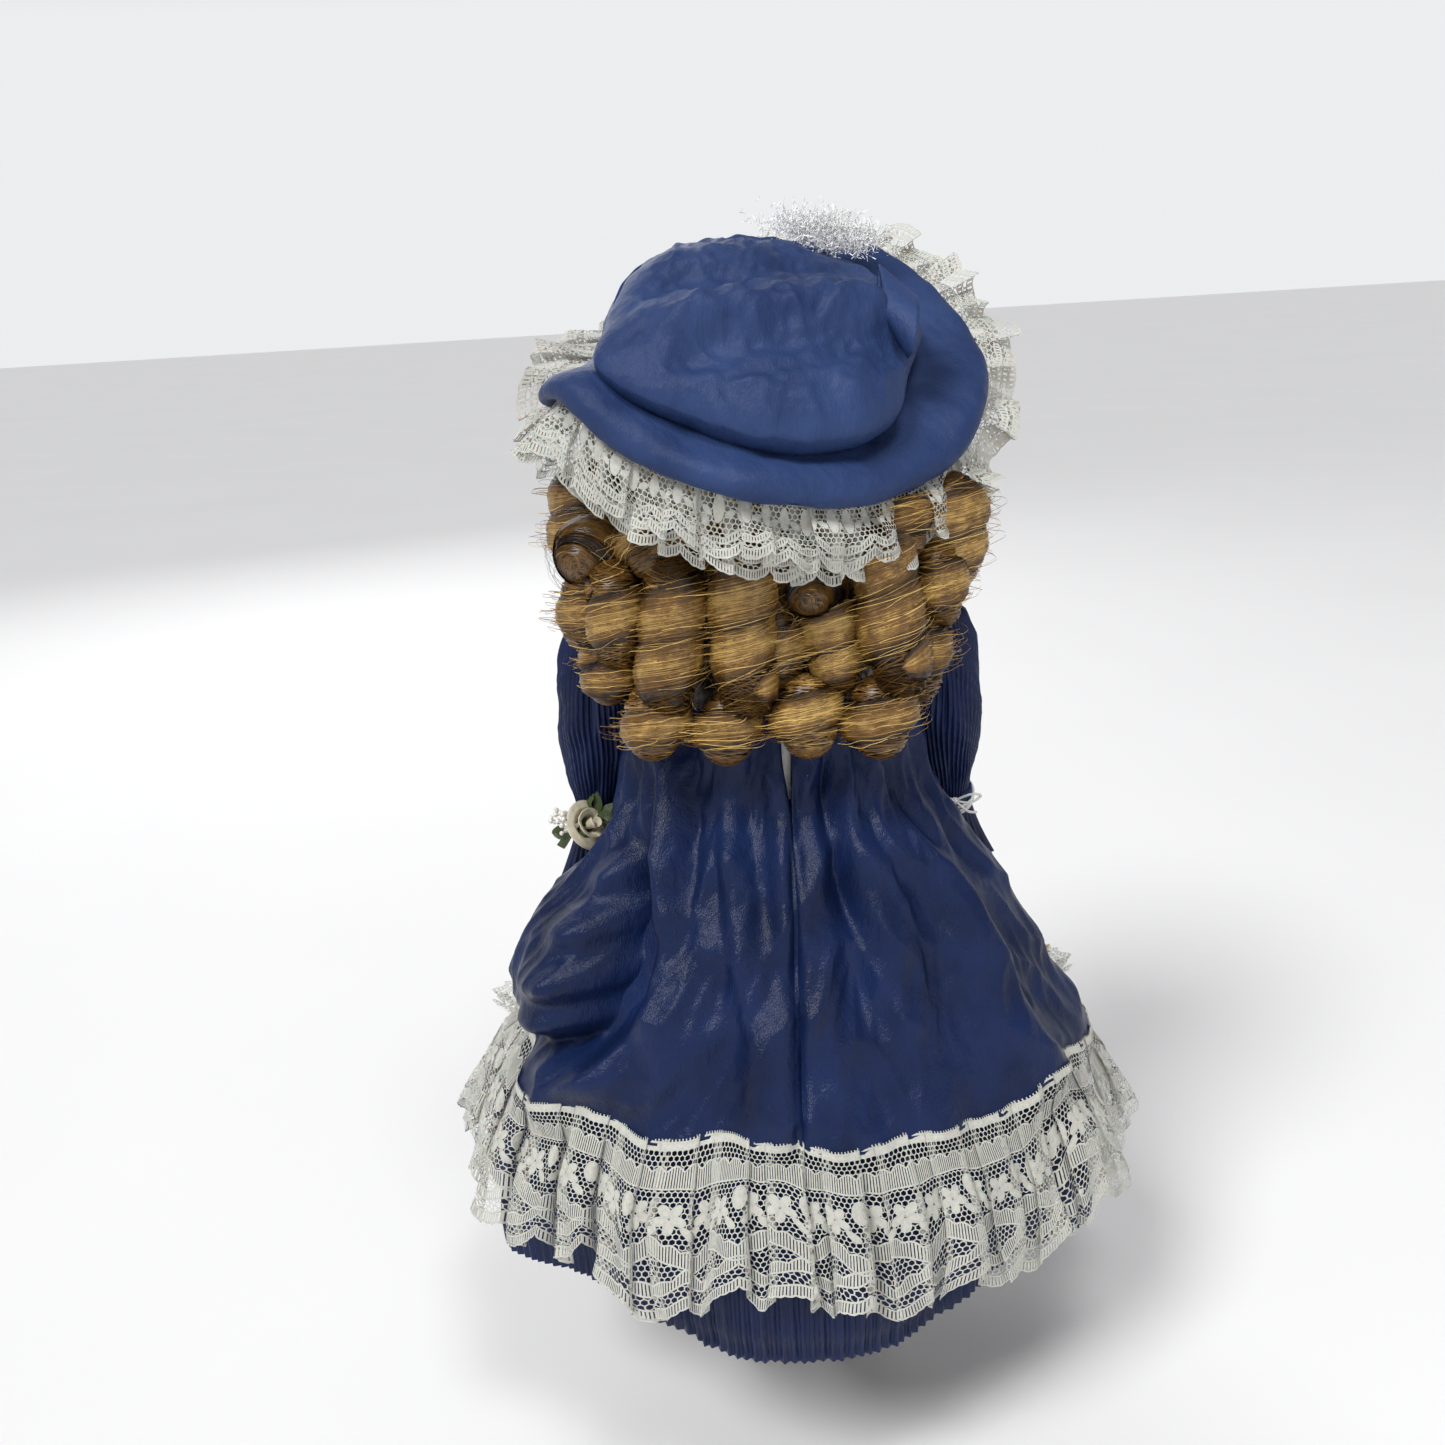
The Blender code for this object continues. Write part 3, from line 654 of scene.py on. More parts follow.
def hem_lace():
    """The flounce at the hem, in four lengths that meet."""
    pattern = deep_lace()
    length = pleat_path(GIRTH / FLOUNCE_PLEATS, FLOUNCE_FOLD)[0] * FLOUNCE_PLEATS
    repeats = round(length / pattern.repeat)
    stretch = length / (repeats * pattern.repeat)
    made = []
    for quarter in range(4):
        first = repeats * quarter // 4
        count = repeats * (quarter + 1) // 4 - first
        flat, faces = pattern.repeat_over(first, count)
        flat[:, 0] *= stretch
        obj = mesh_object(f"hem_lace_{quarter + 1}", hem_flounce(flat), faces, PAINT["lace"])
        dress(obj, "doll", "lace", "hem_lace")
        made.append(obj)
    return made


# ---------------------------------------------------------------- skirts

def underskirt():
    """The finely pleated underskirt."""
    pleats, per_pleat, rows = 230, 5, 56
    angle = full_turn(pleats * per_pleat)
    drop = as_column(0, 1, rows) ** 0.8
    around = np.abs(np.remainder(angle + math.pi, TAU) - math.pi)
    hem = UNDERSKIRT_HEM - 3.5 + 10.0 * smooth((around - 0.30) / 0.22) * smooth((2.0 - around) / 0.5)
    hem = hem + 3.5 * smooth((around - 1.6) / 0.5)
    z = WAIST + (hem - WAIST) * drop
    bent = angle + 0.004 * ripples(angle * 9, drop * 2, 3)
    ridge = np.abs(np.remainder(bent * pleats / TAU, 1) - 0.5) * 4 - 1
    lift = -8.5 + flute(angle, z) + ridge * (0.25 + 0.6 * drop) + 0.5 * ripples(angle * 12, drop * 3, 4)
    lip = 1.5 * smooth((76 - z) / 8)
    points = skirt(angle + 0 * z, z + 0 * angle, lift - lip)
    obj = mesh_object("underskirt_pleated", points, faces_between(points, True),
                      PAINT["pleated"])
    dress(obj, "doll", "navy_satin", "underskirt")


def front_edge(z):
    """The angle from the back at which the overskirt ends at the front."""
    return np.radians(98 + 54 * smooth((z - 184) / 56))


def one_sided(value, gentle, steep):
    """A ridge that rises gently where value is above 0 and falls steeply where it is below."""
    return np.where(value > 0, hump(value, gentle), hump(value, steep))


def overskirt_folds(angle, z):
    """Lift of the overskirt's folds: gathers at the waist, the pulled-up swag and its hollow at the left."""
    low = smooth((256 - z) / 60)
    gathers = 1.5 * np.sin(22 * angle + 2.0 * np.sin(3 * angle + 0.5)) * smooth((z - 180) / 50)
    bent = angle + 0.05 * np.sin(z / 31 + 0.6) + 0.03 * np.sin(z / 13 + 3 * angle)
    broad = low * (2.8 * np.cos(5.2 * bent + 0.9) + 2.1 * np.cos(12 * bent + 1.6 * np.sin(2 * bent)))
    edge = np.interp(z, [135, 143, 154, 164, 176, 193, 219, 245],
                     [0.97, 0.87, 0.71, 0.61, 0.55, 0.56, 0.70, 0.84])
    fold = 10.5 * one_sided(edge - angle, 0.26, 0.05) * smooth((258 - z) / 45) * smooth((z - 134) / 20)
    beside = smooth((232 - z) / 28) * smooth((z - 146) / 12)
    hollow = -12.0 * hump(angle - edge - 0.19, 0.12) * beside
    puff = smooth((angle - edge - 0.10) / 0.30) * smooth((1.95 - angle) / 0.5)
    swag = puff * (13.0 * hump(z - 180, 24) - 7.0 * smooth((163 - z) / 12))
    tucks = 2.6 * np.sin(z * 0.40 + 6 * angle) * hump(angle - edge - 0.34, 0.20) * beside
    line = np.interp(z, [137, 150, 179, 204, 228, 242], [-0.96, -0.92, -0.92, -0.91, -0.74, -0.63])
    right = 7.5 * one_sided(angle - line, 0.22, 0.07) * low
    valley = -6.5 * hump(angle + 0.31, 0.11) * low
    ridge_line = np.interp(z, [150, 165, 192, 219, 245], [0.12, 0.13, 0.20, 0.30, 0.36])
    ridge = 7.0 * one_sided(ridge_line - angle, 0.10, 0.06) * low * smooth((z - 136) / 30)
    left_valley = -6.5 * hump(angle - ridge_line - 0.24, 0.09) * smooth((z - 165) / 30)
    seam = -4.2 * hump(angle - 0.004 + 0.0006 * (z - 144), 0.024) * smooth((228 - z) / 16)
    crumples = (1.7 * creased(angle * 2.0 + z / 60, z / 60 - angle * 1.6, 71)
                + 0.55 * creased(angle * 6, z / 19 + angle * 3, 72))
    crumples = crumples * smooth((262 - z) / 30)
    total = (3.2 + gathers + broad + fold + hollow + swag + tucks + right + valley + ridge + left_valley
             + seam + crumples)
    return np.maximum(total, -5.8)


def overskirt():
    """The satin overskirt in two panels, open in a slit below the waist and meeting lower down."""
    columns, rows = 190, 150
    drop = as_column(0, 1, rows)
    for side, name in SIDE_NAMES.items():
        share = side * as_row(0, 1, columns) ** 0.92
        angle = share * front_edge(WAIST + 4 + (HEM - WAIST) * drop)
        top = WAIST + 26 * smooth((1.75 - np.abs(angle)) / 0.5)
        z = top + (hem_line(angle) - top) * drop
        slit = (side * (0.036 * smooth((z - 222) / 26) - 0.004 * smooth((222 - z) / 10))
                - 0.062 * smooth((z - 140) / 90))
        angle = angle + slit * np.exp(-(np.abs(angle) / 0.30))
        lift = overskirt_folds(angle, z) + 0.7 * (side > 0) * hump(angle, 0.05)
        points = skirt(angle, z, lift)
        obj = mesh_object("overskirt_cloth_" + name, points, faces_of(faces_between(points), side),
                          PAINT["satin"])
        thicken(obj, 0.0006)
        dress(obj, "doll", "navy_satin", "overskirt_" + name)


# ---------------------------------------------------------------- small lace edgings

def edging(repeat=12.0, height=16.0, scallop=2.6, cell=1.6):
    """Narrow lace: a heading, one row of leaves, a corded band and a scalloped border."""
    made = Lace(repeat, height, scallop, cell, 0.32)
    w = repeat
    made.band(lambda s: 0 * s, lambda s: 0 * s + 1.1, rows=2)
    made.band(lambda s: made.edge(s) - 2.2,
              lambda s: made.edge(s) + 0.35 * np.abs(np.sin(5 * math.pi * s / w)))
    made.band(lambda s: made.edge(s) - 5.4 - 0.8 * np.abs(np.sin(3 * math.pi * s / w)),
              lambda s: made.edge(s) - 4.2)
    middle = 1.0 + (height - scallop - 6.4) / 2
    made.petal(w / 2, middle, (height - scallop - 8) / 2.2, 1.5, HALF_PI)
    made.petal(0.0, middle - 0.4, (height - scallop - 8) / 2.6, 1.2, HALF_PI)
    made.petal(w / 4, middle + 1.0, 1.5, 0.7, 0.6)
    made.petal(3 * w / 4, middle + 1.0, 1.5, 0.7, -0.6)
    made.net(0.9)
    return made


def lace_strip(name, body, pattern, count, flat_to_body, nodes):
    """A gathered strip of an edging. flat_to_body bends flat points into place."""
    flat, faces = pattern.repeat_over(0, count)
    obj = mesh_object(name, flat_to_body(flat), faces, PAINT["lace"])
    dress(obj, body, "lace", *nodes)
    return obj


# ---------------------------------------------------------------- the hat

# The hat's middle at its brim, and its own axes: up, to the doll's left, and to the low back edge.
HAT_CENTRE = np.array([-1.5, 13.5, 372.7])
HAT_AXIS = np.array([-0.255449, 0.561437, 0.787105])
HAT_LEFT = unit(np.array([1.0, 0, 0]) - HAT_AXIS * HAT_AXIS[0])
HAT_LOW = np.cross(HAT_AXIS, HAT_LEFT)
BRIM_HOLE = 42.5
# How far the brim hangs, in degrees, by the angle from its low back edge towards the doll's left.
DROOP = np.array([
    (-180, 42), (-165, 25), (-150, 10), (-140, 0), (50, 0), (60, 6), (70, 38), (80, 75), (95, 88),
    (110, 88), (125, 82), (140, 76), (155, 58), (165, 50), (180, 42),
], float)


def on_hat(radius, turn, height):
    """Points of the flat hat. turn is measured from the low back edge towards the doll's left."""
    radius, turn, height = np.broadcast_arrays(radius, turn, height)
    flat = radius[..., None] * (np.sin(turn)[..., None] * HAT_LEFT + np.cos(turn)[..., None] * HAT_LOW)
    return HAT_CENTRE + flat + height[..., None] * HAT_AXIS


def droop(turn):
    """The angle at which the brim hangs, from a table softened at its corners."""
    degrees = np.degrees(np.remainder(turn + math.pi, TAU) - math.pi)
    return np.radians(sum(np.interp(degrees + shift, DROOP[:, 0], DROOP[:, 1]) for shift in (-4, 0, 4)) / 3)


def on_brim(radius, turn, height):
    """Points of the brim, bent down from its inner edge where it hangs."""
    angle = droop(turn)
    low = np.maximum(height, -4) + np.minimum(height + 4, 0) * (1 - 0.6 * np.sin(angle))
    out = radius - BRIM_HOLE
    return on_hat(BRIM_HOLE + out * np.cos(angle) + low * np.sin(angle), turn,
                  low * np.cos(angle) - out * np.sin(angle))


def brim_wave(radius, turn):
    """How far the brim's waves and its curled corner lift it."""
    out = smooth((radius - 44) / 28)
    wave = 1.5 * np.sin(3 * turn + 0.6) + 0.9 * np.sin(5 * turn + 2) + 0.5 * np.sin(9 * turn)
    turn = np.remainder(turn + math.pi, TAU) - math.pi
    return out * (wave + 3.0 * hump(turn - 1.0, 0.25))


def hat_brim():
    """The padded satin brim with its rolled edge."""
    outline = np.array([
        (43, -1.4), (46, 2.0), (54, 3.2), (62, 4.4), (68, 4.4), (71.5, 2.6), (72.8, -0.4), (71.5, -3.2),
        (66, -3.8), (58, -2.8), (48, -1.8), (43, -1.4),
    ], float)
    steps = np.concatenate([[0], np.cumsum(np.linalg.norm(np.diff(outline, axis=0), axis=1))])
    share = np.linspace(0, steps[-1], 72, endpoint=False)
    kernel = np.hanning(9) / np.hanning(9).sum()

    def softened(column):
        values = np.interp(share, steps, outline[:, column])
        return np.convolve(np.concatenate([values[-4:], values, values[:4]]), kernel, mode="valid")[:, None]

    radius, height = softened(0), softened(1)
    turn = full_turn(300)
    out = smooth((radius - 44) / 28)
    c, s = np.cos(turn), np.sin(turn)
    reach = 1.2 * np.sin(4 * turn + 1) + 0.5 * np.sin(11 * turn) + 2.6 * np.exp(-((turn - 0.95) / 0.25) ** 2)
    creases = (0.45 * ripples(radius / 22 * c, radius / 22 * s, 21)
               + 0.16 * ripples(radius / 7 * c, radius / 7 * s, 22))
    lifted = (height * (1 + 0.25 * out * np.exp(-((turn - 1.0) / 0.4) ** 2)) + brim_wave(radius, turn)
              + creases * np.sign(height + 0.5))
    points = on_brim(radius + out * reach, turn + 0 * radius, lifted)
    obj = mesh_object("hat_brim_padded", points, faces_between(points, True), PAINT["hat"])
    dress(obj, "hat", "navy_satin", "hat_brim")


def crown_radius(turn):
    """How far the crown reaches over the brim, all round."""
    degrees = np.array([-180, -142, -121, -106, -85, -65, -50, -32, -15, 0, 15, 30, 45, 56, 66, 80, 99, 145,
                        180])
    reach = np.array([40, 44, 46, 48, 48, 47, 51, 58, 60, 59, 59.5, 60, 63, 63, 54, 46, 40, 37, 40.0])
    fine = np.radians(np.arange(-180, 180))
    values = np.interp(fine, np.radians(degrees), reach)
    kernel = np.hanning(19) / np.hanning(19).sum()
    values = np.convolve(np.tile(values, 3), kernel, mode="same")[360:720]
    return np.interp(np.remainder(turn + math.pi, TAU) - math.pi, fine, values)


def segment_bump(x, y, start, end, wide):
    """A soft ridge along a line of the crown, 1 on the line."""
    start, end = np.array(start, float), np.array(end, float)
    line = end - start
    share = np.clip(((x - start[0]) * line[0] + (y - start[1]) * line[1]) / (line @ line), 0, 1)
    away = np.hypot(x - start[0] - share * line[0], y - start[1] - share * line[1])
    return np.exp(-((away / wide) ** 2))


def crown_height(x, y, s):
    """The crown's top surface: a sagging dome with its long fold, hollows and creases."""
    dome = (12.0 + 0.13 * np.minimum(y, 0) + 12.5 * (1 - s**2.6) ** 0.60
            + 0.21 * np.minimum(y, 0) * (1 - s**6) + 0.05 * np.maximum(y, 0) * (1 - s**4))
    inside = smooth((1.0 - s) / 0.22)
    fold = (6.0 * segment_bump(x, y, (30, 26), (-36, 6), 8.0)
            - 3.4 * segment_bump(x, y, (24, 39), (-38, 22), 7.0))
    far = (3.2 * segment_bump(x, y, (36, -4), (-8, -26), 9.0)
           - 2.6 * segment_bump(x, y, (34, 12), (-20, -12), 5.0))
    crease = (-1.5 * segment_bump(x, y, (2, 16), (-10, 18), 1.5)
              - 1.3 * segment_bump(x, y, (-9, 20), (-20, 2), 1.5))
    crease = (crease - 1.2 * segment_bump(x, y, (16, 46), (-18, 34), 2.4)
              + 1.0 * segment_bump(x, y, (-20, 44), (-30, 10), 3.0))
    crease = (crease - 1.0 * segment_bump(x, y, (38, 30), (10, 4), 2.0)
              + 0.9 * segment_bump(x, y, (28, 44), (-6, 50), 2.6))
    soft = (0.7 * ripples(x / 30, y / 30, 31) + 0.65 * creased(x / 24, y / 20, 32)
            + 0.28 * creased(x / 8, y / 8, 33))
    return dome - 0.05 * np.maximum(x, 0) + inside * (fold + far + 0.9 * crease + soft)


def hat_crown():
    """The soft beret crown: it sags over the brim at the back, and a fold of it stands open at one end."""
    columns, top_rows, under_rows = 260, 90, 26
    turn = as_row(-math.pi, math.pi, columns, endpoint=False)
    reach = crown_radius(turn)
    s = np.sin(np.linspace(0.01, HALF_PI, top_rows))[:, None]
    radius = reach * s
    height = crown_height(radius * np.sin(turn), radius * np.cos(turn), s + 0 * turn)
    v = as_column(0.02, 1, under_rows)
    tuck = reach - (reach - 44.4) * v**1.4 + 0.8 * np.sin(9 * turn + 1) * v * (1 - v)
    radius = np.concatenate([radius, tuck])
    rim = height[-1:]
    low = rim - (rim + 0.2) * np.sin(HALF_PI * np.minimum(v * 1.25, 1)) ** 0.8
    height = np.concatenate([height, low])
    wrinkle = 0.5 * np.sin(turn * 21 + 2 * np.sin(turn * 3)) + 0.8 * np.sin(turn * 8 + 1)
    rounding = np.concatenate([smooth((s - 0.7) / 0.3), 1 - 0.7 * v])
    across, along = radius * np.sin(turn), radius * np.cos(turn)
    creases = (0.9 * creased(across / 30 + along / 50, along / 38, 81)
               + 0.22 * creased(across / 9, along / 13, 82))
    height = height + creases * np.concatenate([smooth(4 * s), 1 - 0.8 * v])
    points = on_hat(radius + rounding * wrinkle * 0.6, turn + 0 * radius, height)
    points[0] = points[0].mean(axis=0)
    obj = mesh_object("hat_crown_cloth", points, faces_between(points, True),
                      PAINT["hat"])
    dress(obj, "hat", "navy_satin", "hat_crown")
    fold_loop()


def fold_loop():
    """The open end of the crown's fold, a flattened loop of doubled satin."""
    around = full_turn(48)
    out = as_column(0, 1, 10)
    x = -31 - 10.0 * out + 1.2 * np.sin(around) * out
    tall = 10.5 * np.sin(around) * (0.8 + 0.2 * out)
    thin = (1.8 + 2.8 * out) * np.cos(around) * (1 + 0.45 * np.sin(around))
    y = 2 + tall + 12.0 * out
    w = 25.5 - 3.0 * out + thin - 0.15 * tall
    outer = HAT_CENTRE + x[..., None] * HAT_LEFT + y[..., None] * HAT_LOW + w[..., None] * HAT_AXIS
    obj = mesh_object("hat_crown_fold", *grid_shape(outer, True), PAINT["hat"])
    thicken(obj, 0.0012, 0)
    dress(obj, "hat", "navy_satin")


def hat_lace(name, reach, start, phase, seed, stoop, nodes):
    """A ruffle round the brim's underside. Its back falls over the hair and its front stands out."""
    pattern = edging(13.0, reach, 3.2)
    girth = TAU * start
    period = girth / 21
    length = pleat_path(period, 3.4)[0] * 21
    count = round(length / pattern.repeat)
    stretch = length / (count * pattern.repeat)

    def bend(flat):
        """Hangs the ruffle from the underside of the brim."""
        along, depth = pleated(flat[:, 0] * stretch, period, 3.4)
        turn = along / girth * TAU + phase
        t = flat[:, 1]
        share = t / reach
        flare = 4.4 * share * (depth + 1) + 4.2 * share * ripples(turn * 3.4, share * 0.7, seed)
        low = (smooth((np.cos(turn) + 0.55) / 1.2) * stoop * (1 - 0.8 * hump(turn - 1.55, 0.45)))[:, None]
        angle = droop(turn)[:, None]
        outward = np.sin(turn)[:, None] * HAT_LEFT + np.cos(turn)[:, None] * HAT_LOW
        fall = angle * (0.85 - 0.78 * hump(turn - 1.62, 0.50))[:, None]
        hung = outward * np.cos(fall) - HAT_AXIS * np.sin(fall)
        base = on_brim(start + 0 * t, turn, brim_wave(start, turn) - 4.3 + flat[:, 2])
        heading = unit(hung * (1 - 0.62 * low) + np.array([0, 0, -1.0]) * low
                       + HAT_AXIS * 0.25 * (1 - low) * np.cos(angle))
        across = unit(np.cross(heading, np.cross(outward, HAT_AXIS)))
        return base + heading * t[:, None] + across * (flare + flat[:, 2])[:, None]

    return lace_strip(name, "hat", pattern, count, bend, nodes)


def tulle_plume():
    """The tuft of white fibres at the front of the crown."""
    rng = np.random.default_rng(41)
    count, steps = 3600, 6
    root = rng.normal(0, 1, (count, 3)) * [7.5, 3.4, 2.2]
    root = (HAT_CENTRE + np.array([root[:, 0] - 22]).T * HAT_LEFT + np.array([root[:, 1] - 38]).T * HAT_LOW
            + np.array([np.abs(root[:, 2]) + 12]).T * HAT_AXIS)
    aim = unit(rng.normal(0, 1, (count, 3)) + HAT_AXIS * 1.1 - HAT_LOW * 0.8)
    bend = rng.normal(0, 1, (count, 3))
    share = np.linspace(0, 1, steps)[None, :, None]
    long = rng.uniform(1.5, 3.6, (count, 1, 1))
    lines = root[:, None] + aim[:, None] * share * long + bend[:, None] * share**2 * 1.3
    points, faces, tint = fibres(lines, unit(rng.normal(0, 1, lines.shape)), 0.26, rng.uniform(0.4, 1, count))
    obj = mesh_object("hat_plume_fibres", points, faces, PAINT["tulle"], tint=tint)
    dress(obj, "hat", "tulle", "hat_plume")


# ---------------------------------------------------------------- hair

def fibres(lines, outward, width, tints):
    """Flat fibres along lines (count, steps, 3) that face outward, each with its own tint."""
    along = unit(np.gradient(lines, axis=1))
    side = unit(np.cross(along, outward)) * width / 2
    points = np.stack([lines - side, lines + side], axis=2)
    count, steps = lines.shape[:2]
    index = np.arange(count * steps * 2).reshape(count, steps, 2)
    faces = np.stack([index[:, :-1, 0], index[:, 1:, 0], index[:, 1:, 1], index[:, :-1, 1]], axis=-1)
    return points.reshape(-1, 3), faces.reshape(-1, 4), np.repeat(tints, steps * 2)


# Points across a lock's band, and along and round its core.
BAND_ROWS = 15
CORE_ROWS, CORE_COLUMNS = 26, 24


def curl_at(q, u, top, low, radius, turns, start, blunt):
    """(points, outward) on a coiled lock: q runs along the lock and u across its band, -1 to 1.

    start is the angle at which the coil begins. The top end rounds off over blunt times the radius.
    """
    axis = low - top
    length = np.linalg.norm(axis)
    axis = axis / length
    first = unit(np.cross(axis, [0.31, 0.9, 0.28]))
    second = np.cross(axis, first)
    turn = start + TAU * turns * q
    ended = np.sqrt(np.clip(np.minimum(q, 1 - q) * turns * 2.6, 0, 1))
    u = u * ended
    half = 0.62 * length / (turns + 1)
    reach = half + (length - 2 * half) * q + u * half
    to_low = np.clip((length - reach) / (0.95 * radius), 0, 1)
    to_top = np.clip(reach / (blunt * radius), 0, 1)
    shape = (np.sqrt(np.clip(1 - (1 - to_low) ** 2, 0, 1))
             * (0.12 + 0.88 * np.sqrt(np.clip(1 - (1 - to_top) ** 2, 0, 1))))
    bulge = np.sqrt(np.maximum(1 - 0.97 * np.minimum(np.abs(u), 1) ** 2, 0))
    uneven = 1 + 0.10 * np.sin(turn * 0.37 + start) + 0.06 * np.sin(turn * 0.9 + 2 * start)
    spread = radius * uneven * (0.62 * shape + 0.38 * bulge * ended * np.sqrt(np.maximum(shape, 0)))
    outward = np.cos(turn)[..., None] * first + np.sin(turn)[..., None] * second
    bow = np.sin(math.pi * reach / length) * 0.05 * radius
    return top + reach[..., None] * axis + (spread + bow)[..., None] * outward, outward


def core_at(share, ring, top, low, radius):
    """Points on the round-ended core that a lock is wound on."""
    axis = low - top
    tall = np.linalg.norm(axis)
    first = unit(np.cross(axis, [0.31, 0.9, 0.28]))
    second = np.cross(unit(axis), first)
    from_end = np.clip(np.minimum(share, 1 - share) * tall / radius, 0, 1)
    wide = radius * np.sqrt(1 - (1 - from_end) ** 2)
    across = (wide * np.cos(ring))[..., None] * first + (wide * np.sin(ring))[..., None] * second
    return top + (share + 0 * ring)[..., None] * axis + across


def coil_band(shape, start, tone, seed):
    """(points, faces, tint) of the combed band that a lock is coiled from."""
    turns = shape[3]
    steps = int(30 * turns)
    u = as_column(-1, 1, BAND_ROWS)
    q = as_row(0, 1, steps)
    points, outward = curl_at(q + 0 * u, u + 0 * q, *shape)
    comb = ripples(u * 4 + 0.3 * q, q * 2.0, seed + 1)
    points = points + outward * (0.16 * comb)[..., None]
    # Painted highlights in soft bands along the coil.
    painted_highlight = 0.12 * np.sin(TAU * turns * q * 1.7 + start + 2 * u)
    # Painted shade: the band darkens towards its edges, where the wraps meet, and in the combed grooves, and
    # is lighter on their ridges. tone is the lock's own colour.
    tint = np.clip(0.50 + tone + painted_highlight + 0.10 * comb - 0.90 * np.abs(u) ** 2.2, 0, 1)
    return points.reshape(-1, 3), grid_faces(BAND_ROWS, steps), tint.ravel()


def coil_fibres(rng, shape, tone, count):
    """Single hairs that follow the band."""
    places = rng.uniform(-0.98, 0.98, count)[:, None]
    begin = rng.uniform(0, 0.35, count)[:, None]
    along = np.linspace(0, 1, int(13 * shape[3]))[None, :]
    q = begin + (rng.uniform(0.65, 1.0, count)[:, None] - begin) * along
    drift = 0.06 * np.sin(q * rng.uniform(2, 9, (count, 1)) + rng.uniform(0, TAU, (count, 1)))
    lines, outward = curl_at(q, np.clip(places + drift, -1.15, 1.15), *shape)
    loose = rng.exponential(0.10, count)[:, None] + 0.08 + 0.10 * np.sin(q * 17 + places * 9)
    lines = lines + outward * loose[..., None]
    # Hairs towards the band's edges are darker: painted shade in the grooves between the wraps. The random
    # spread is the hairs' own tone.
    tint = np.clip(rng.normal(0.62 + tone, 0.07, count) - 0.72 * np.abs(places[:, 0]) ** 2.0, 0, 1)
    return fibres(lines, outward, 0.20, tint)


def painted_shade_core(top, low, radius):
    """The inside of a lock: a dark surface of painted shade, standing for the shade within the coil."""
    share = as_column(0.0, 1.0, CORE_ROWS)
    ring = full_turn(CORE_COLUMNS)
    core = core_at(share, ring, top, low, 0.68 * radius)
    # Near black: painted shade inside the coil.
    tint = np.full(CORE_ROWS * CORE_COLUMNS, 0.02)
    return core.reshape(-1, 3), grid_faces(CORE_ROWS, CORE_COLUMNS, True)[:, ::-1], tint


def core_fibres(rng, top, low, radius, tone, count):
    """Hairs wound on the core, most of them round its ends."""
    along = as_row(0, 1, 18)
    share = 0.5 - 0.58 * np.cos(math.pi * rng.uniform(0, 1, (count, 1)))
    share = np.clip(share + rng.uniform(-0.12, 0.12, (count, 1)) * (2 * along - 1), 0, 1)
    ring = rng.uniform(0, TAU, (count, 1)) + 3.4 * along
    lines = core_at(share, ring, top, low, (0.70 + rng.uniform(0, 0.12, (count, 1))) * radius)
    outward = unit(lines - (top + (low - top) * np.clip(share, 0.3, 0.7)[..., None]))
    return fibres(lines, outward, 0.30, np.clip(rng.normal(0.38 + tone, 0.12, count), 0, 1))


def stray_hairs(rng, shape, seed, count=44):
    """A few hairs that stand away from the lock."""
    along = as_row(0, 1, 22)
    q = rng.uniform(0, 0.6, count)[:, None] + 0.3 * along
    lines, outward = curl_at(np.clip(q, 0, 1), rng.uniform(-1, 1, count)[:, None] + 0 * q, *shape)
    away = np.sin(math.pi * along) * rng.uniform(0.8, 6.5, (count, 1))
    bent = ripples(q * 9, q * 5 + np.arange(count)[:, None], seed + 3)
    lines = lines + outward * away[..., None] + 0.8 * bent[..., None]
    return fibres(lines, outward, 0.13, np.clip(rng.normal(0.6, 0.2, count), 0, 1))


def curl(seed, top, low, radius, turns, blunt=0.8, count=240):
    """(points, faces, tint) of one lock: the banded coil, its fibres, its dark core of painted shade and a
    few stray hairs.
    """
    rng = np.random.default_rng(seed)
    top, low = np.array(top, float), np.array(low, float)
    start = rng.uniform(0, TAU)
    shape = (top, low, radius, turns, start, blunt)
    tone = rng.uniform(-0.10, 0.10)
    made = [
        coil_band(shape, start, tone, seed),
        coil_fibres(rng, shape, tone, count),
        painted_shade_core(top, low, radius),
        core_fibres(rng, top, low, radius, tone, 2 * count),
        stray_hairs(rng, shape, seed),
    ]
    points, faces = join([piece[:2] for piece in made])
    return points, faces, np.concatenate([piece[2] for piece in made])


def hair_object(name, pieces, *nodes):
    """One piece of hair from (points, faces, tint) of its locks."""
    points, faces = join([piece[:2] for piece in pieces])
    obj = mesh_object(name, points, faces, PAINT["hair"], tint=np.concatenate([piece[2] for piece in pieces]))
    return dress(obj, "doll", "hair", *nodes)


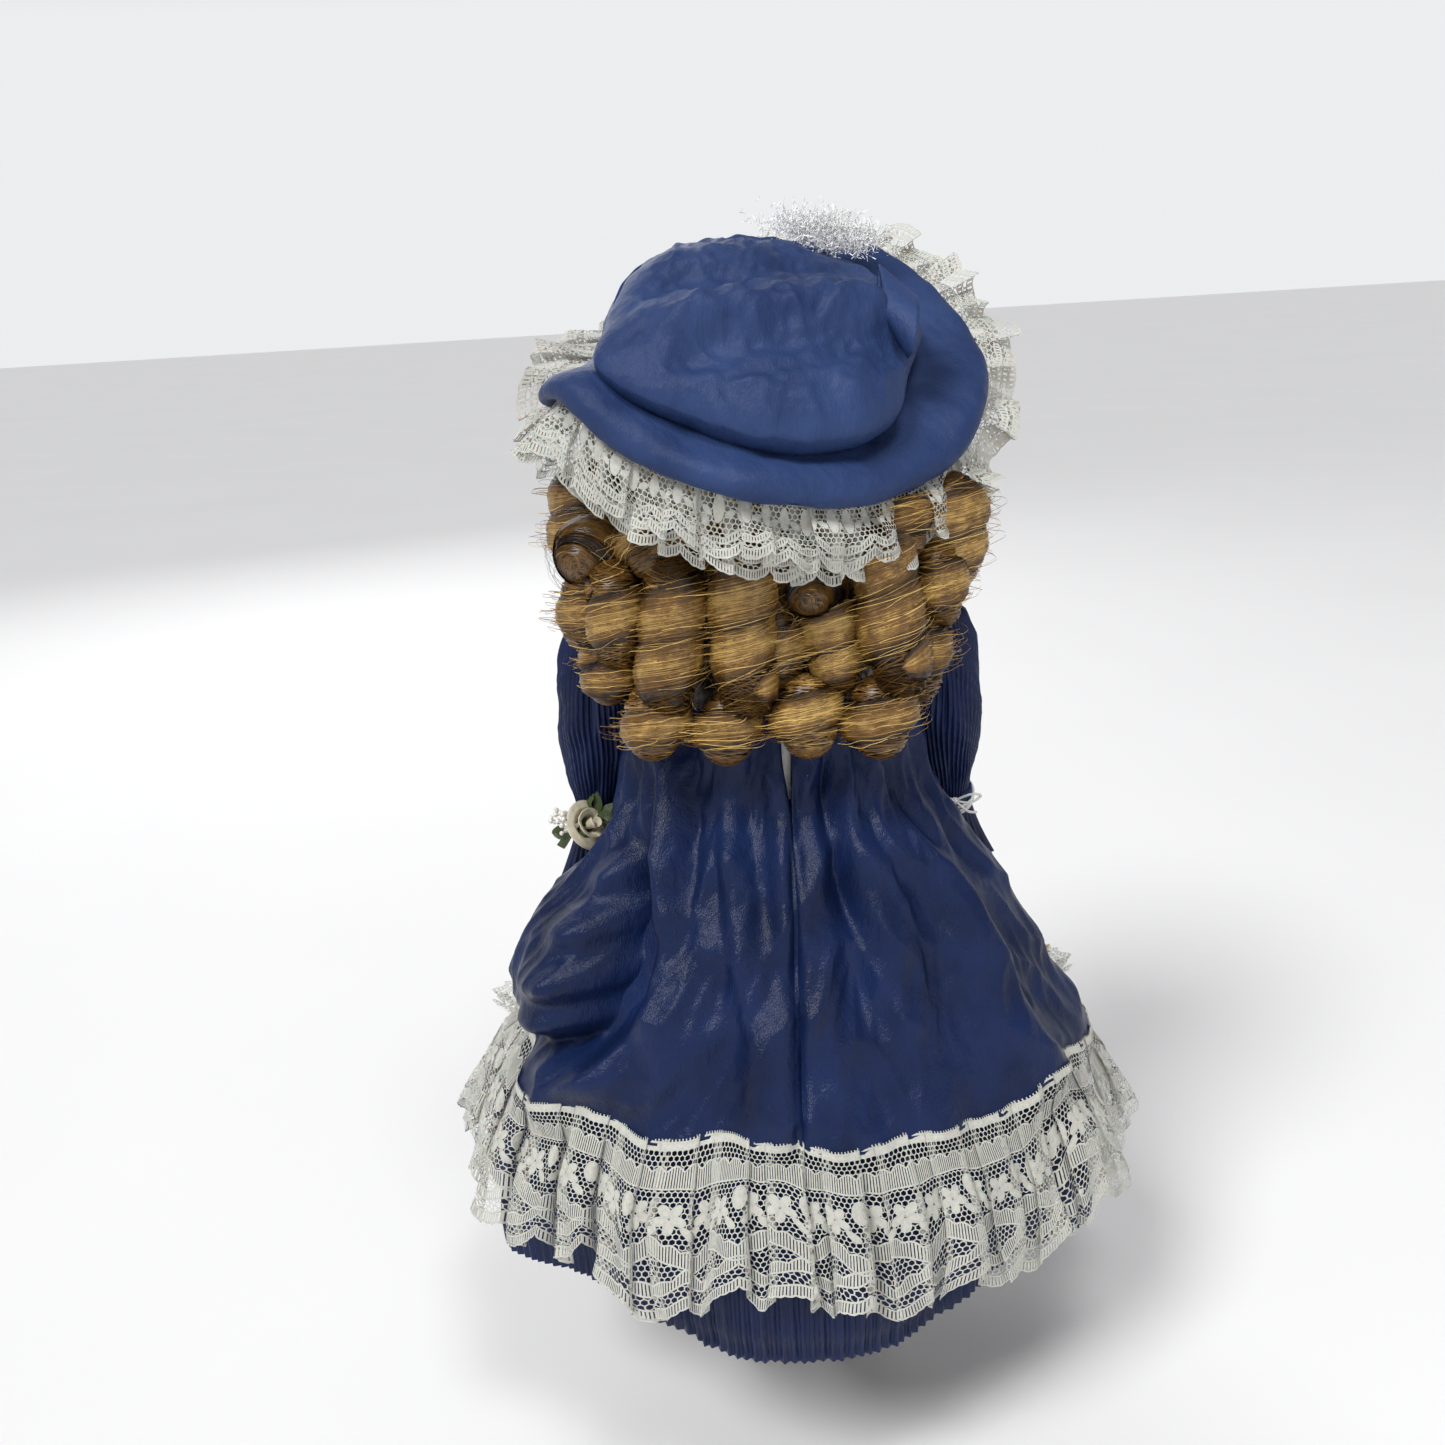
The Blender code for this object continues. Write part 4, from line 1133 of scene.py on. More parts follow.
def ringlets():
    """The sausage curls at the back, the rolls over the ears and the locks beside the face."""
    back = [
        ((47, 40, 312), (46, 44, 277), 9.0, 1.8), ((28, 45, 316), (33, 52, 264), 10.2, 2.3),
        ((7, 46, 318), (9, 53, 262), 10.4, 2.5), ((-33, 45, 322), (-39, 52, 266), 10.4, 2.4),
        ((-51, 36, 312), (-52, 40, 284), 8.6, 1.5),
    ]
    balls = [
        ((37, 45, 274), (38, 49, 250), 10.8, 1.35), ((14, 45, 270), (16, 49, 247), 10.4, 1.3),
        ((-9, 45, 274), (-10, 50, 248), 10.6, 1.5), ((-31, 45, 272), (-32, 49, 246), 11.2, 1.4),
        ((49, 37, 288), (51, 40, 266), 9.2, 1.35), ((-1, 40, 298), (-2, 43, 268), 9.4, 1.8),
        ((-18, 40, 300), (-20, 44, 266), 9.8, 1.9), ((-45, 40, 292), (-44, 44, 262), 9.4, 1.7),
    ]
    nodes = ["back_ringlet_1", "back_ringlet_2", "back_ringlet_3", "back_ringlet_5", "back_ringlet_6"]
    for i, (top, low, radius, turns) in enumerate(back):
        hair_object(f"back_curl_{i + 1}", [curl(100 + i, top, low, radius, turns, count=340)], nodes[i])
    loop = curl(120, (-12, 40, 304), (-12, 56, 297), 10.8, 1.3, 0.4, 240)
    hair_object("back_curl_ends", [curl(110 + i, *ball, count=230) for i, ball in enumerate(balls)]
                + [loop], "back_ringlet_4")
    hair_object("side_rolls", [
        curl(130, (50, 22, 316), (58, 42, 309), 13.0, 1.5, 1.2, 300),
        curl(131, (54, 6, 338), (54, 6, 298), 13.0, 1.9, 0.8, 260),
        curl(132, (-54, 25, 331), (-57, 29, 293), 14.0, 1.9, 0.8, 340),
        curl(133, (-51, 2, 336), (-51, 2, 300), 11.5, 1.8, 0.8, 220),
        curl(134, (54, 30, 308), (57, 32, 282), 11.0, 1.5),
        curl(135, (38, 38, 324), (32, 46, 306), 10.5, 1.2),
        curl(136, (-38, 38, 328), (-40, 46, 306), 10.5, 1.3),
        curl(137, (-22, 40, 324), (-16, 46, 312), 9.0, 1.2),
    ], "side_puff_left", "side_puff_right", "side_ringlet_left", "side_ringlet_right")
    hair_object("face_curls", [
        curl(140, (40, -18, 336), (42, -19, 290), 7.0, 3.4, 0.8, 170),
        curl(141, (-40, -18, 336), (-42, -19, 290), 7.0, 3.4, 0.8, 170),
        curl(142, (45, -7, 340), (47, -6, 298), 7.4, 2.9, 0.8, 170),
        curl(143, (-45, -7, 340), (-47, -6, 298), 7.4, 2.9, 0.8, 170),
    ], "face_ringlet_left", "face_ringlet_right")


def hairline(turn):
    """Polar angle at which the cap of hair ends. turn is measured from the back."""
    front = smooth((np.abs(turn) - 1.7) / 1.1)
    return np.radians(140 - 76 * front + 5 * np.cos(7 * turn) * front)


def cap_point(turn, polar, lift):
    """Points over the skull, lifted off the cap."""
    x = (37.6 + lift) * np.sin(polar) * np.sin(turn)
    y = 3 + (41.0 + lift) * np.sin(polar) * np.cos(turn)
    z = 345 + (45.5 + lift) * np.cos(polar)
    return xyz(x, y, z)


def hair_cap():
    """Hair combed from the crown of the head down to the curls, and a soft fringe."""
    rng = np.random.default_rng(51)
    columns, rows = 420, 60
    turn = as_row(-math.pi, math.pi, columns, endpoint=False)
    share = as_column(0.01, 1, rows)
    polar = share * hairline(turn)
    comb = ripples(turn * 14 + 0.4 * share, share * 0.5, 52) * smooth(share / 0.2)
    surface = cap_point(turn, polar, 0.7 * comb - 1.8 * smooth((share - 0.97) / 0.03))
    cap = grid_shape(surface, True)
    # Lighter on the combed ridges and darker in the grooves between them: painted shade.
    cap_groove_shade = np.clip(0.4 + 0.35 * comb, 0, 1).ravel()
    count = 1500
    turn = rng.uniform(-math.pi, math.pi, count)[:, None]
    share = as_row(0.03, 1, 16)
    swirl = 0.16 * np.sin(share * 5 + rng.uniform(0, TAU, (count, 1))) * share
    lift = rng.exponential(0.5, count)[:, None] + 0.5
    lines = cap_point(turn + swirl, share * hairline(turn) * 1.02, lift + 0 * share)
    made = fibres(lines, unit(lines - [0, 3, 345]), 0.4, np.clip(rng.normal(0.52, 0.22, count), 0, 1))
    hair_object("hair_cap", [(*cap, cap_groove_shade), made], "wig_cap")
    fringe = []
    for i, x in enumerate(np.linspace(-27, 27, 9)):
        deep = 3 - 41.5 * math.sqrt(1 - (x / 42) ** 2)
        z = 366 - 0.012 * x * x + 1.5 * math.sin(i * 2.4)
        lean = 5 * math.sin(i * 1.7)
        fringe.append(curl(150 + i, (x + lean * 0.4, deep + 1.5, z + 8),
                           (x - lean * 0.4, deep - 1.0, z - 8), 5.0, 1.6, 0.9, 110))
    hair_object("fringe_curls", fringe)


def hair_fall():
    """The tangled mass behind the curls, its sheet coloured dark as painted shade."""
    rng = np.random.default_rng(61)
    turn = as_row(-1.45, 1.45, 90)
    drop = as_column(0, 1, 40)

    def place(turn, drop, lift):
        z = 336 - 72 * drop + 4 * np.cos(turn * 5)
        wide = 36 + 12 * smooth(drop * 2.2) + lift
        deep = 33 + 4 * np.sin(math.pi * drop) + lift
        return xyz(wide * np.sin(turn), 3 + deep * np.cos(turn), z)

    rough = 1.4 * ripples(turn * 5, drop * 3, 62) + 0.5 * ripples(turn * 22, drop * 2, 63)
    points = place(turn, drop, rough)
    mass = grid_shape(points)
    # A dark tint, darker still in the hollows of the rough sheet: painted shade behind the curls.
    shaded_mass_tint = np.clip(0.16 + 0.12 * rough, 0, 1).ravel()
    count = 900
    turn = rng.uniform(-1.28, 1.28, (count, 1))
    share = as_row(0, 1, 18)
    begin = rng.uniform(-0.1, 0.6, (count, 1))
    drop = begin + share * rng.uniform(0.25, 0.5, (count, 1))
    sway = (rng.uniform(0.03, 0.13, (count, 1)) * np.sin(share * rng.uniform(4, 13, (count, 1))
                                                         + rng.uniform(0, TAU, (count, 1))))
    lift = (rng.uniform(0.6, 8.0, (count, 1)) * (1 - 0.6 * smooth((np.abs(turn) - 0.8) / 0.4))
            + 1.6 * np.cos(share * rng.uniform(4, 12, (count, 1)) + rng.uniform(0, TAU, (count, 1))))
    lowest = 1.02 - 0.34 * smooth((np.abs(turn) - 0.65) / 0.4)
    lines = place(turn + sway, np.minimum(drop, lowest), lift)
    made = fibres(lines, unit(lines - [0, 3, 300]), 0.26, np.clip(rng.normal(0.45, 0.25, count), 0, 1))
    hair_object("hair_behind_curls", [(*mass, shaded_mass_tint), made])


# ---------------------------------------------------------------- bodice, collar and front lace

# Level sections of the bodice: height, half width, half depth, centre y.
BODICE = np.array([
    (232, 45.5, 32.5, 3), (250, 43.5, 30, 2), (262, 43.6, 28.5, 1), (270, 43.8, 27.2, 0),
    (275, 42.6, 26.2, 0), (279, 40.2, 24.6, 0), (282.5, 36, 22.2, 0), (285.5, 29.5, 19.2, 0.3),
    (288, 22, 16.2, 0.8), (290, 16.5, 14, 1),
], float)


def bodice_point(turn, z, lift):
    """Points on the bodice, turn measured from the back, lifted off the torso's sections."""
    wide, deep, centre = [np.interp(z, BODICE[:, 0], BODICE[:, k]) for k in (1, 2, 3)]
    return xyz((wide + lift) * np.sin(turn), centre + (deep + lift) * np.cos(turn),
                                        z)


def bodice():
    """The satin bodice, open down the back, with a pleated front panel, and the sash round its waist. Its
    pearl buttons come from front_trim().
    """
    columns, rows = 300, 50
    turn = as_row(0.055, TAU - 0.055, columns)
    z = as_column(289.5, 233.0, rows)
    front = np.exp(-((turn - math.pi) / 0.42) ** 8)
    back = smooth((np.cos(turn) - 0.2) / 0.5)
    tucks = 0.55 * np.abs(np.sin(turn * 46)) * front
    folds = ((1.1 * np.sin(turn * 17 + 0.8 * np.sin(z / 9)) + 0.6 * ripples(turn * 5, z / 26, 71)) * back
             * smooth((284 - z) / 20))
    creases = 0.55 * ripples(turn * 3, z / 18, 72)
    under = -3.6 * back * smooth((268 - z) / 8)
    points = bodice_point(turn, z,
                          0.6 + tucks + (folds + creases) * (1 - 0.7 * back * smooth((268 - z) / 6)) + under)
    obj = mesh_object("bodice_cloth", points, faces_between(points), PAINT["satin"])
    thicken(obj, 0.0007)
    dress(obj, "doll", "navy_satin", "bodice")
    sash()


def sash():
    """The folded satin sash round the front of the waist."""
    turn = as_row(1.5, TAU - 1.5, 220)
    across = as_column(-1, 1, 20)
    z = 235.5 + 5.2 * across + 0.5 * np.sin(turn * 3)
    lift = (2.0 + 1.3 * np.sqrt(1.02 - across**2) + 0.45 * np.sin(across * 9 + 1.5 * np.sin(turn * 4))
            + 0.25 * ripples(turn * 8, across, 77))
    obj = mesh_object("waist_sash", *grid_shape(bodice_point(turn, z, lift)), PAINT["satin"])
    thicken(obj, 0.0006)
    dress(obj, "doll", "navy_satin")


def closure_strip():
    """The white strip of the back fastening, seen through the slit."""
    across = as_row(-1, 1, 9)
    down = as_column(0, 1, 60)
    z = 268 - 37 * down
    x = -2.2 + 0.3 * np.sin(down * 9) + across * 2.2
    y = (np.interp(z, HEIGHTS, SECTIONS[1]) + np.interp(z, HEIGHTS, SECTIONS[2]) + 0.2
         + 0.25 * np.cos(across * 2))
    points = xyz(x, y, z + 0 * across)
    obj = mesh_object("closure_strip_woven", points, faces_between(points), PAINT["trim"])
    dress(obj, "doll", "white_trim", "closure_strip")


def collar():
    """The gathered lace collar, in two layers."""
    for layer, (reach, drop, count) in enumerate(((20.0, 0.30, 13), (13.0, -0.10, 10))):
        pattern = edging(12.0, reach, 2.8)
        girth = count * pattern.repeat

        def bend(flat, reach=reach, drop=drop, girth=girth, layer=layer):
            """Lays the lace round the neck."""
            turn = flat[:, 0] / girth * TAU
            t = flat[:, 1]
            wave = 1.6 * np.sin(turn * 15 + layer) * t / reach
            wide, deep = 15.0 + t * 0.98, 14.0 + t * 0.62
            z = 291.5 + layer * 0.8 - drop * t + 1.3 * wave + flat[:, 2] - 0.012 * t * t
            return np.stack([wide * np.sin(turn), 1.2 + deep * np.cos(turn), z], axis=1)

        flat, faces = pattern.repeat_over(0, count)
        obj = mesh_object(f"collar_lace_{layer + 1}", bend(flat), faces, PAINT["lace"])
        dress(obj, "doll", "lace", "collar_lace")


def front_lace():
    """Lace ruffles down the overskirt's front edges."""
    pattern = edging(12.0, 19.0, 3.0)
    zs = np.linspace(232, HEM + 4, 60)
    for side in (1, -1):
        name = SIDE_NAMES[side]
        path = skirt(side * front_edge(zs), zs, 1.0)
        steps = np.concatenate([[0], np.cumsum(np.linalg.norm(np.diff(path, axis=0), axis=1))])
        period = steps[-1] / 8
        length = pleat_path(period, 2.6)[0] * 8
        count = round(length / pattern.repeat)
        stretch = length / (count * pattern.repeat)

        def bend(flat, side=side, steps=steps, period=period, stretch=stretch):
            """Lets the ruffle stand out along the overskirt's front edge."""
            along, depth = pleated(flat[:, 0] * stretch, period, 2.6)
            z = np.interp(along, steps, zs)
            t = flat[:, 1]
            share = t / 19.0
            radius = np.interp(z, HEIGHTS, SECTIONS[0])
            angle = side * (front_edge(z) + (t * 0.8 - 4) / radius)
            stands = 13.0 * share * smooth((234 - z) / 34)
            lift = (2.2 + stands + 3.2 * (depth + 0.5) * (0.4 + share) + 1.6 * share * np.sin(along * 0.9)
                    + flat[:, 2])
            return skirt(angle, z + 1.5 * share * depth, lift)

        lace_strip("front_lace_ruffle_" + name, "doll", pattern, count, bend,
                   ["front_lace_" + name])


# ---------------------------------------------------------------- sleeves, bands and cuffs

# Level sections of the left sleeve: height, centre x, centre y, half width, half depth.
SLEEVE = np.array([
    (286, 53, 0.5, 4.0, 5.0), (284, 54.5, 0.4, 7.4, 8.6), (280, 56, 0, 10.4, 12),
    (272, 57.2, -0.8, 11.8, 13.6), (262, 58.2, -2, 12.4, 14.2), (248, 58.8, -5.5, 12.6, 14.4),
    (236, 59.4, -9, 12.2, 13.4), (227, 60, -11.5, 10.8, 11.4), (220, 60.6, -12.8, 9.0, 9.4),
    (214, 61, -13.6, 7.8, 8.0), (211, 61, -14, 7.6, 7.8),
], float)[::-1]
# The left elbow, and the directions in which the forearm and the cuff point.
ELBOW = np.array([61.0, -14.0, 211.0])
FOREARM = unit(np.array([0.02, -0.45, -0.893]))
CUFF = unit(np.array([0.08, -0.36, -0.93]))


def ring_frame(axis):
    """Two directions across an axis: the first to the doll's left, the second to its back."""
    first = unit(np.cross([0, 1, 0], axis) * -1.0)
    if first[0] < 0:
        first = -first
    second = np.cross(axis, first)
    return first, second if second[1] > 0 else -second


def sleeve(side):
    """The pleated puff sleeve over the upper arm, from the shoulder down to the elbow."""
    name = SIDE_NAMES[side]
    pleats = 44
    columns, rows = pleats * 6, 60
    turn = full_turn(columns)
    z = as_column(285, 212, rows)
    x, y, wide, deep = [np.interp(z, SLEEVE[:, 0], SLEEVE[:, k]) for k in (1, 2, 3, 4)]
    bent = turn + 0.03 * np.sin(z / 6 + 2 * turn)
    ridge = np.abs(np.remainder(bent * pleats / TAU, 1) - 0.5) * 4 - 1
    puff = smooth((284 - z) / 12) * smooth((z - 212) / 12)
    lift = ridge * (0.30 + 0.25 * puff) + 0.9 * puff * ripples(turn * 1.3, z / 26, 81 + side)
    points = np.stack([x + (wide + lift) * np.sin(turn), y + (deep + lift) * np.cos(turn), z + 0 * turn],
                      axis=-1)
    obj = mirrored_object(name + "_sleeve_pleated", side, points, faces_between(points, True),
                          PAINT["pleated"])
    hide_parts(name + "_sleeve")
    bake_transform(obj)


def round_arm(axis, along, turn, wide, deep):
    """Points round the forearm's line."""
    first, second = ring_frame(axis)
    return (ELBOW + along[..., None] * axis + (wide * np.sin(turn))[..., None] * first
            + (deep * np.cos(turn))[..., None] * second)


def band_and_cuff(side):
    """The satin band at the elbow and the pleated cuff below it."""
    name = SIDE_NAMES[side]
    turn = full_turn(120)
    shape = np.array([(-4.2, 7.2), (-3.6, 8.4), (-1.5, 9.0), (1.5, 9.0), (3.6, 8.4), (4.2, 7.2)])
    rows = np.linspace(0, 5, 22)
    along = np.interp(rows, range(6), shape[:, 0])[:, None] + 0 * turn
    radius = (np.interp(rows, range(6), shape[:, 1])[:, None] + 0.22 * np.sin(turn * 23 + along)
              + 0.3 * ripples(turn * 2, along / 4, 85))
    points = round_arm(FOREARM, along, turn, radius, radius)
    obj = mirrored_object(name + "_band_satin", side, points, faces_between(points, True), PAINT["satin"])
    dress(obj, name + "_forearm", "navy_satin", name + "_elbow_band")
    pleats = 34
    turn = full_turn(pleats * 7)
    drop = as_column(0, 1, 36)
    along = 3.2 + 25.5 * drop + 1.6 * np.sin(turn * 5 + side) * drop
    ridge = np.abs(np.remainder(turn * pleats / TAU, 1) - 0.5) * 4 - 1
    flutes = 2.2 * drop**1.5 * np.sin(turn * 6 + 1.2 * np.sin(turn * 2))
    radius = 8.2 + 5.4 * drop**1.2 + ridge * (0.2 + 0.7 * drop) + flutes
    points = round_arm(CUFF, along + 0 * turn, turn, radius, radius * 0.96)
    obj = mirrored_object(name + "_cuff_pleated", side, points, faces_between(points, True),
                          PAINT["pleated"])
    dress(obj, name + "_forearm", "navy_satin", name + "_cuff")


# ---------------------------------------------------------------- small trims

def tube(line, radius, sides=8, closed=False):
    """(points, faces) of a round cord along a line of points; radius may vary along it."""
    line = np.asarray(line, float)
    if closed:
        along = unit(np.roll(line, -1, axis=0) - np.roll(line, 1, axis=0))
    else:
        along = unit(np.gradient(line, axis=0))
    first = np.empty_like(line)
    guide = unit(np.cross(along[0], [0.37, 0.21, 0.9]))
    for i, direction in enumerate(along):
        guide = unit(guide - direction * (guide @ direction))
        first[i] = guide
    second = np.cross(along, first)
    turn = np.linspace(0, TAU, sides, endpoint=False)[None, :, None]
    radius = np.broadcast_to(np.asarray(radius, float), len(line))[:, None, None]
    points = line[:, None] + radius * (np.cos(turn) * first[:, None] + np.sin(turn) * second[:, None])
    if closed:
        points = np.concatenate([points, points[:1]])
    return grid_shape(points, True)


def curve_through(corners, count):
    """A smooth line through corner points."""
    corners = np.asarray(corners, float)
    t = np.linspace(0, len(corners) - 1, count)
    i = np.minimum(t.astype(int), len(corners) - 2)
    f = (t - i)[:, None]
    before = corners[np.maximum(i - 1, 0)]
    after = corners[np.minimum(i + 2, len(corners) - 1)]
    a, b = corners[i], corners[i + 1]
    return (0.5 * (2 * a + (b - before) * f + (2 * before - 5 * a + 4 * b - after) * f**2
                   + (3 * a - before - 3 * b + after) * f**3))


def ribbon(corners, width, face, count=30, twist=0.0, taper=0.0):
    """(points, faces) of a ribbon along a smooth line, its flat side towards face."""
    line = curve_through(corners, count)
    along = unit(np.gradient(line, axis=0))
    side = unit(np.cross(along, face))
    over = np.cross(side, along)
    share = np.linspace(0, 1, count)
    turn = (twist * share)[:, None]
    across = np.cos(turn) * side + np.sin(turn) * over
    half = (width / 2 * (1 - taper * share**2))[:, None]
    grid = np.stack([line + across * half * k + over * 0.15 * (1 - k * k) for k in np.linspace(-1, 1, 5)],
                    axis=1)
    return grid_shape(grid)


def ball(centre, radius, rings=9, sides=14):
    """(points, faces) of a bead."""
    polar = as_column(0.05, math.pi - 0.05, rings)
    turn = full_turn(sides)
    unit_ball = xyz(np.sin(polar) * np.cos(turn), np.sin(polar) * np.sin(turn),
                                             np.cos(polar))
    return grid_shape(np.asarray(centre) + unit_ball * radius, True)


def rosebud(centre, axis, size):
    """(points, faces) of a rose folded from satin: rolled petals round a tight heart."""
    axis = unit(np.asarray(axis, float))
    first = unit(np.cross(axis, [0.2, 0.1, 0.97]))
    second = np.cross(axis, first)
    parts = []
    for k in range(8):
        ring = 0 if k < 2 else 1 if k < 5 else 2
        turn0 = k * 2.2
        wide = (1.5, 1.35, 1.25)[ring]
        around = as_row(-wide, wide, 17)
        rise = as_column(0, 1, 11)
        radius = size * ((0.16, 0.42, 0.66)[ring] + (0.10, 0.24, 0.42)[ring] * rise**2)
        radius = radius * (1 - 0.35 * (1 - rise) ** 2) + size * 0.16 * smooth((rise - 0.75) / 0.25) * ring / 2
        height = size * (1.15 - 0.22 * ring) * rise * (1 - 0.16 * (around / wide) ** 2) - 0.3 * size
        height = height - size * 0.14 * ring * smooth((rise - 0.7) / 0.3)
        turn = turn0 + around
        flat = np.cos(turn)[..., None] * first + np.sin(turn)[..., None] * second
        points = np.asarray(centre) + (radius + 0 * around)[..., None] * flat + height[..., None] * axis
        parts.append(grid_shape(points))
    return join(parts)


def leaf_loops(centre, face, size, seed, count=3):
    """(points, faces) of looped ribbon leaves and a cut end."""
    rng = np.random.default_rng(seed)
    face = unit(np.asarray(face, float))
    first = unit(np.cross(face, [0, 0, 1.0]))
    second = np.cross(face, first)
    parts = []
    for k in range(count):
        turn = TAU * k / count + rng.uniform(-0.35, 0.35)
        aim = math.cos(turn) * first + math.sin(turn) * second
        side = np.cross(face, aim)
        c = np.asarray(centre, float)
        loop = [c, c + aim * size * 0.6 + side * size * 0.22 + face * 1.2, c + aim * size * 1.05 + face * 1.6,
                c + aim * size * 0.6 - side * size * 0.2 + face * 0.6, c + face * 0.3]
        parts.append(ribbon(loop, 3.4, side * 0.5 + face, 30, 0.5))
        tail = [c, c + aim * size * 0.7 + side * size * 0.5, c + aim * size * 1.35 + side * size * 0.8
                - face * 1.0]
        parts.append(ribbon(tail, 3.0, face, 16, 0.6))
    return join(parts)


def bouquet():
    """The rosebud, pearl sprays and olive ribbon on the left elbow band, and the pearl that hangs from it."""
    spot = ELBOW + [4, 11.5, 0.5]
    rose = rosebud(spot + [0, 2.5, 0.5], (-0.62, 0.55, 0.45), 7.2)
    obj = mesh_object("bouquet_rosebud", *rose, PAINT["cream"])
    thicken(obj, 0.0003)
    dress(obj, "left_forearm", "rose_satin", "bouquet_rose")
    rng = np.random.default_rng(91)
    beads, stems = [], []
    for _ in range(9):
        aim = unit(np.array([0.9, 0.25, 0.35]) + rng.normal(0, 0.42, 3))
        tip = spot + [2, 2, 1] + aim * rng.uniform(6, 12)
        line = curve_through([spot, (spot + tip) / 2 + rng.normal(0, 0.8, 3), tip], 12)
        stems.append(tube(line, 0.22, 6))
        for reach in (11, 8, 5):
            beads.append(ball(line[reach] + rng.normal(0, 0.3, 3), rng.uniform(0.75, 1.15)))
    drop = curve_through([spot + [-2, 1, -2], spot + [-3.5, 2.5, -8], spot + [-3.0, 2.5, -13]], 14)
    stems.append(tube(drop, 0.22, 6))
    beads.append(ball(drop[-1], np.array([1.5, 1.5, 2.1])))
    beads.append(ball(drop[-1] + [1.2, 0.3, 4.2], 1.1))
    obj = mesh_object("bouquet_pearl_beads", *join(beads), PAINT["pearl"])
    dress(obj, "left_forearm", "pearl", "bouquet_pearls")
    dress(mesh_object("bouquet_stems", *join(stems), PAINT["trim"]), "left_forearm", "white_trim")
    leaves = leaf_loops(spot + [-2, -0.5, 2.5], (0.3, 0.9, 0.25), 7.6, 92, 4)
    more = leaf_loops(spot + [6, 0.0, -2.0], (0.6, 0.75, 0.1), 6.0, 93, 2)
    obj = mesh_object("bouquet_ribbon_leaves", *join([leaves, more]), PAINT["olive"])
    dress(obj, "left_forearm", "ribbon", "bouquet_leaves")


def band_tie():
    """The white doubled cord tied round the right elbow band, with a small bow."""
    turn = np.linspace(0, TAU, 80, endpoint=False)
    parts = []
    for along in (-1.3, -0.1, 1.2):
        line = round_arm(FOREARM, along + 0.5 * np.sin(turn * 2 + along), turn, 9.5 + 0 * turn,
                         9.5 + 0 * turn)
        parts.append(tube(line, 0.5, 8, True))
    knot = ELBOW + [1.5, 9.8, 0.3]
    parts.append(ball(knot, np.array([1.5, 1.1, 1.2])))
    for loop in (
        [(0, 0, 0), (5, 1.5, 2.5), (9, 0.5, 1.5), (5, 1.5, -0.5), (0, 0, 0)],
        [(0, 0, 0), (-4, 1.5, 2.0), (-7, 1.5, 0.2), (-4, 1.5, -1.2), (0, 0, 0)],
        [(0, 0, 0), (4, 1.5, -3.5), (7.5, 0.5, -4.5)],
        [(0, 0, 0), (-2, 1.5, -4.5), (-3, 1.0, -8.5)],
    ):
        parts.append(tube(curve_through(knot + np.array(loop), 26), 0.45, 8))
    obj = mirrored_object("right_band_cord", -1, *join(parts), PAINT["trim"])
    dress(obj, "right_forearm", "white_trim", "right_band_tie")


def hip_posies():
    """A cream rosebud with ribbon leaves on each hip."""
    for side, name in SIDE_NAMES.items():
        spot = skirt(np.radians(84.0), np.array(160.0), np.array(2.5))
        rose = rosebud(spot + [2.5, 0, 0], (0.95, 0.15, 0.25), 5.0)
        obj = mirrored_object(name + "_hip_rosebud", side, *rose, PAINT["cream"])
        thicken(obj, 0.0003)
        dress(obj, "doll", "rose_satin", "hip_rose_" + name)
        leaves = leaf_loops(spot + [1, 1.5, -2], (0.9, 0.4, 0.1), 7.5, 95 + side, 4)
        obj = mirrored_object(name + "_hip_leaves", side, *leaves, PAINT["olive"])
        dress(obj, "doll", "ribbon")


# ---------------------------------------------------------------- head

# Level sections of the shoulder plate, neck and head: height, half width, half depth, centre y.
HEAD = np.array([
    (262.4, 36, 21, 0), (270, 38, 21.5, 0), (278, 34, 18.5, 0), (284, 24, 15, 0), (289, 14.5, 12.7, 1),
    (296, 11.4, 11.2, 2), (301, 11.8, 12.4, 1), (304, 15.6, 18, -5.4), (308, 20, 23.5, -4.6),
    (313, 23.8, 27, -2.9), (318, 26.6, 29.4, -1.5), (323, 28.6, 31.4, -0.5), (328, 30.2, 32.9, 0),
    (333, 31.4, 34.2, 0.8), (339, 32.3, 35.5, 1.6), (345, 32.5, 36, 2), (352, 32.02, 35.47, 2),
    (358, 30.82, 34.14, 2), (365, 28.36, 31.4, 2), (372, 24.45, 27.1, 2), (378, 19.29, 21.4, 2),
    (382, 13.9, 15.4, 2), (385, 7.1, 7.8, 2), (386, 0.2, 0.2, 2),
], float)
# The middle of the left eyeball, its radius, the eye opening's half width and the lid's radius.
EYE = np.array([12.3, -27.6, 341.0])
EYE_RADIUS = 5.7
EYE_HALF_WIDTH = 5.7
LID_RADIUS = 6.4
SKIN = np.array([0.80, 0.585, 0.475])


def level_sections(table, z):
    """Sections at heights z, smoothly curved between the rows of a table."""
    order = np.argsort(table[:, 0])
    heights = table[order, 0]
    columns = []
    for k in range(1, table.shape[1]):
        values = table[order, k]
        slopes = np.gradient(values, heights)
        i = np.clip(np.searchsorted(heights, z) - 1, 0, len(heights) - 2)
        span = heights[i + 1] - heights[i]
        t = np.clip((z - heights[i]) / span, 0, 1)
        low, high = slopes[i] * span, slopes[i + 1] * span
        a, b = values[i], values[i + 1]
        columns.append(a + t * low + t**2 * (3 * (b - a) - 2 * low - high)
                       + t**3 * (2 * (a - b) + low + high))
    return columns


def upper_lid(across):
    """Height of the upper lid's edge above the eye's centre, at a share of the eye's half width."""
    return 3.6 * np.maximum(1 - across**2.2, 0) ** 0.75


def lip_line(x):
    """Height of the line between the lips."""
    return 318.2 + 0.020 * x**2 + 0.25 * hump(x, 1.2)


